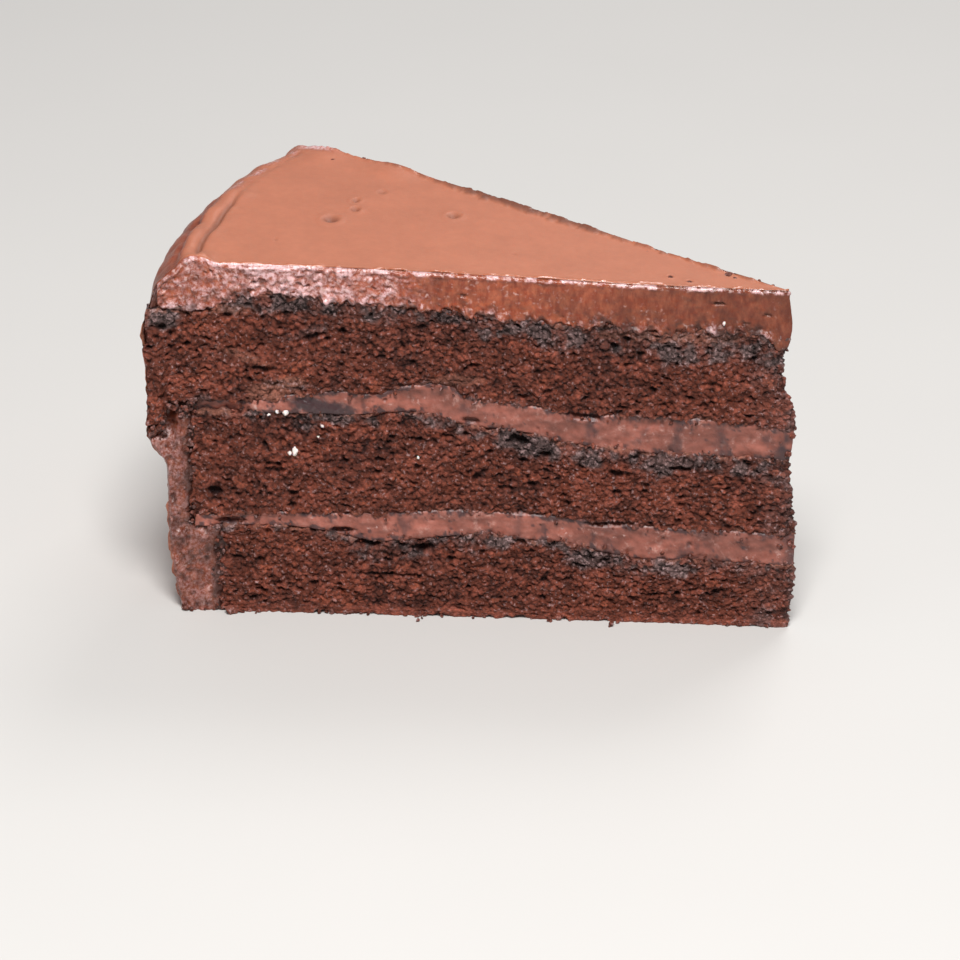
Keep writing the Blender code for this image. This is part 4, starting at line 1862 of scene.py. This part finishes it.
@dataclass(frozen=True)
class LooseCrumbs:
    """Crumbs dragged over the cuts, along the top edges and round the foot."""

    joint_count: int = 46
    edge_count: int = 130
    foot_count: int = 34
    tip_count: int = 34
    corner_count: int = 34
    # Large crumbs against the foot: ring, distance out of the cut, radius.
    large_at_foot: tuple[tuple[float, float, float], ...] = (
        (103.1, 1.0, 0.95), (101.6, 0.7, 0.5), (112.0, 0.2, 0.9), (98.0, 0.5, 0.45),
    )
    # Crumbs on the icing: ring, place across, radius.
    on_top: tuple[tuple[float, float, float], ...] = (
        (22.8, 0.33, 0.42), (19.1, 0.25, 0.45), (13.7, 0.86, 0.6), (11.9, 0.8, 0.35), (30.5, 0.9, 0.35),
        (101.0, 0.93, 0.5),
    )
    # Grains of sugar on the front cut: ring, height, radius.
    sugar_at: tuple[tuple[float, float, float], ...] = (
        (92.6, 41.9, 0.58), (94.3, 42.3, 0.36), (90.9, 34.1, 0.62), (91.9, 33.7, 0.4), (85.9, 39.5, 0.4),
        (95.8, 41.6, 0.3), (86.6, 37.3, 0.26), (12.9, 62.5, 0.34), (68.0, 33.5, 0.26),
    )

    def spot(self, ring: float, height: float, cut: Cut, out: float) -> Array:
        """One position so far out of a cut, in millimetres."""
        at = np.array([max(ring, SLICE.blunt)])
        return (SLICE.place(at, cut.value, height) + SLICE.outward(at, cut) * out)[0]

    def build(self, finish: bpy.types.Material) -> bpy.types.Object:
        """Scatter them.

        Args:
            finish: Material of the crumb.

        Returns:
            The piece.
        """
        bits = Bits("crumbs", SEED + 300)
        for cut in Cut:
            self.over_joints(bits, cut)
            self.at_foot(bits, cut)
        self.along_top_edge(bits)
        self.round_corner(bits)
        return bits.build(finish)

    def over_joints(self, bits: Bits, cut: Cut) -> None:
        """Crumbs dragged over the creams and at the tip.

        Args:
            bits: Where they are added.
            cut: Which cut.
        """
        draw = bits.draw
        joints = (SLICE.under_icing, SLICE.upper_filling_top, SLICE.upper_filling_bottom,
                  SLICE.lower_filling_top, SLICE.lower_filling_bottom)
        for table in joints:
            for _ in range(self.joint_count):
                ring = draw.uniform(3.0, 103.0)
                level = float(SLICE.level(table, np.array([ring]), np.array([cut.value]))[0])
                size = draw.uniform(0.18, 0.42) * (1.0 + 0.6 * (draw.random() > 0.9))
                spot = self.spot(ring, level + draw.normal(0.0, 0.6), cut, 0.18 + 0.1 * size)
                bits.drop(spot, size, draw.uniform(0.0, 0.4))
        for _ in range(self.tip_count):
            spot = self.spot(draw.uniform(1.2, 4.5), draw.uniform(1.0, 58.0), cut, draw.uniform(-0.35, 0.1))
            bits.drop(spot, draw.uniform(0.35, 0.85), draw.uniform(0.1, 0.6))

    def at_foot(self, bits: Bits, cut: Cut) -> None:
        """Crumbs on the floor against a cut.

        Args:
            bits: Where they are added.
            cut: Which cut.
        """
        draw = bits.draw
        for _ in range(self.foot_count):
            size = draw.uniform(0.22, 0.6)
            spot = self.spot(draw.uniform(2.0, 111.0), 0.6 * size, cut, 0.1 + draw.exponential(0.45))
            bits.drop(spot, size, draw.uniform(0.0, 0.6), 1.0)
        for ring, out, size in self.large_at_foot:
            bits.drop(self.spot(ring, 0.7 * size, cut, out), size, 0.2, 1.0)

    def along_top_edge(self, bits: Bits) -> None:
        """Dark crumbs that the knife left along the icing's back edge, and a few on its top.

        Args:
            bits: Where they are added.
        """
        draw = bits.draw
        for _ in range(self.edge_count):
            ring = 4.0 + 98.0 * draw.random() ** 1.25
            level = float(SLICE.top(ring))
            spot = self.spot(ring, level + draw.uniform(-0.7, 0.0), Cut.BACK, draw.uniform(-0.45, 0.05))
            bits.drop(spot, draw.uniform(0.16, 0.38), draw.uniform(0.0, 0.5))
        for ring, across, size in self.on_top:
            bits.drop(SLICE.place(ring, across, float(SLICE.top(ring)) - 0.2), size, 0.35)

    def round_corner(self, bits: Bits) -> None:
        """Crumbs where the coat has torn away near the rim, below its front corner.

        Args:
            bits: Where they are added.
        """
        draw = bits.draw
        for _ in range(self.corner_count):
            # Under the icing's corner, along the joint there, and down the ends of the lower sponges.
            places = (
                (draw.uniform(115.0, 118.4), draw.uniform(36.0, 42.0), draw.uniform(0.1, 0.5)),
                (draw.uniform(110.0, 115.5), draw.normal(42.6, 0.8), draw.uniform(-0.3, 0.2)),
                (draw.normal(110.6, 0.5), draw.uniform(18.0, 42.0), 0.1),
                (draw.normal(105.3, 0.5), draw.uniform(0.5, 18.0), 0.1),
            )
            for ring, height, out in places:
                spot = self.spot(ring, height, Cut.FRONT, out)
                bits.drop(spot, draw.uniform(0.25, 0.6), draw.uniform(0.1, 0.9))

    def sugar(self, finish: bpy.types.Material) -> bpy.types.Object:
        """Pale grains stuck to the front cut.

        Args:
            finish: Material of the sugar.

        Returns:
            The piece.
        """
        bits = Bits("sugar_grains", SEED + 301)
        for ring, height, size in self.sugar_at:
            bits.drop(self.spot(ring, height, Cut.FRONT, 0.55), size, 0.0)
        return bits.build(finish)


# --- Studio ----------------------------------------------------------------


@dataclass(frozen=True)
class Lamp:
    """A square light, in millimetres and watts."""

    name: str
    place: tuple[float, float, float]
    side: float
    power: float


@dataclass(frozen=True)
class Studio:
    """Pale floor, soft light and a camera on the front cut; millimetres and degrees."""

    # The camera: where it stands from the point that it aims at, its turn about its line of sight,
    # its lens, and that point.
    azimuth: float = 17.786
    elevation: float = 26.229
    distance: float = 866.5
    roll: float = 0.901
    focal: float = 170.2575
    sensor: float = 36.0
    aim_from_apex: float = -59.217
    aim_height: float = 20.641
    floor_half: float = 1500.0
    floor_colour: str = "#C9C6C2"
    floor_roughness: float = 0.65
    # A paint roller leaves faint bands about 60 mm wide.
    paint_size: float = 60.0
    # The broad light hangs above and in front, and a weaker one above and behind.
    lamps: tuple[Lamp, ...] = (
        Lamp("overhead", (160.0, -480.0, 860.0), 320.0, 11.7),
        Lamp("behind", (100.0, 600.0, 800.0), 400.0, 3.0),
    )
    lit_height: float = 35.0
    surroundings: tuple[float, float, float, float] = (0.95, 0.96, 1.0, 1.0)
    surroundings_strength: float = 0.30

    def build(self) -> None:
        """Make the floor, the lights and the camera."""
        self.floor()
        self.lights()
        self.camera()

    def floor(self) -> None:
        """Lay a plain pale floor under the slice."""
        made, tree, shader = new_material("floor_paint")
        where = add(tree, "TexCoord", {}, out="Object")
        faint = add(tree, "TexNoise", {0: where, "Scale": 1.0 / (self.paint_size * MM)})
        faint = add(tree, "MapRange", {0: faint, 3: 0.985, 4: 1.015})
        colour = add(tree, "Mix", {0: 1.0, 6: linear(self.floor_colour), 7: faint}, TINT, 2)
        tree.links.new(colour, shader.inputs["Base Color"])
        shader.inputs["Roughness"].default_value = self.floor_roughness
        square = np.array(((-1.0, -1.0, 0.0), (1.0, -1.0, 0.0), (1.0, 1.0, 0.0), (-1.0, 1.0, 0.0)))
        make_piece("floor", self.floor_half * square, np.arange(4), np.zeros(1), {}, made)

    def lights(self) -> None:
        """Hang the lamps and set even, nearly white surroundings."""
        for lamp in self.lamps:
            self.hang(lamp)
        world = bpy.data.worlds.new("surroundings")
        world.use_nodes = True
        background = world.node_tree.nodes["Background"]
        background.inputs["Color"].default_value = self.surroundings
        background.inputs["Strength"].default_value = self.surroundings_strength
        bpy.context.scene.world = world
        bpy.context.scene.view_settings.view_transform = "Standard"

    def hang(self, lamp: Lamp) -> None:
        """Hang a square light that faces the slice.

        Args:
            lamp: The light.
        """
        data = bpy.data.lights.new(lamp.name, "AREA")
        data.size = lamp.side * MM
        data.energy = lamp.power
        light = bpy.data.objects.new(lamp.name, data)
        place = np.array(lamp.place) * MM
        light.location = place
        away = place - np.array((0.0, 0.0, self.lit_height * MM))
        away = away / np.linalg.norm(away)
        light.rotation_euler = (math.acos(away[2]), 0.0, math.atan2(away[1], away[0]) + math.pi / 2)
        bpy.context.scene.collection.objects.link(light)

    def camera(self) -> None:
        """Stand the camera in front of the front cut, a little above it."""
        a, e = math.radians(self.azimuth), math.radians(self.elevation)
        away = np.array((math.sin(a) * math.cos(e), -math.cos(a) * math.cos(e), math.sin(e)))
        aim = np.array((SLICE.apex + self.aim_from_apex, 0.0, self.aim_height))
        data = bpy.data.cameras.new("camera")
        data.lens = self.focal
        data.sensor_width = self.sensor
        data.clip_start = 0.01
        camera = bpy.data.objects.new("camera", data)
        camera.location = (aim + away * self.distance) * MM
        level = Euler((math.pi / 2 - e, 0.0, a)).to_matrix()
        camera.rotation_euler = (level @ Matrix.Rotation(math.radians(self.roll), 3, "Z")).to_euler()
        bpy.context.scene.collection.objects.link(camera)
        bpy.context.scene.camera = camera


def main() -> None:
    """Build the cake piece by piece, then the studio."""
    logging.basicConfig(level=logging.INFO, format="%(message)s")
    crumb = CrumbFinish().build()
    icing = CreamFinish(
        "icing_buttercream", spread="#A8664C", sliced="#863C25", streak="#A1573B", fat_glint="#DBB2B2",
        stain_and_shade="#331A14", tall=2.2,
    ).build()
    filling = CreamFinish(
        "filling_buttercream", spread="#9A5F4E", sliced="#8A4E40", streak="#9F6052", fat_glint="#CBA095",
        stain_and_shade="#38292C", tall=0.8, streak_size=2.2,
    ).build()
    for layer in SPONGE_LAYERS:
        hand_over(layer.build(crumb), "sponge", layer.node)
    for layer in FILLING_LAYERS:
        hand_over(layer.build(filling), "filling", layer.node)
    hand_over(IcingCoat().build(icing), "icing", "icing")
    loose = LooseCrumbs()
    hand_over(loose.build(crumb), "sponge")
    hand_over(loose.sugar(SugarFinish().build()), "icing")
    Studio().build()


if __name__ == "__main__":
    main()
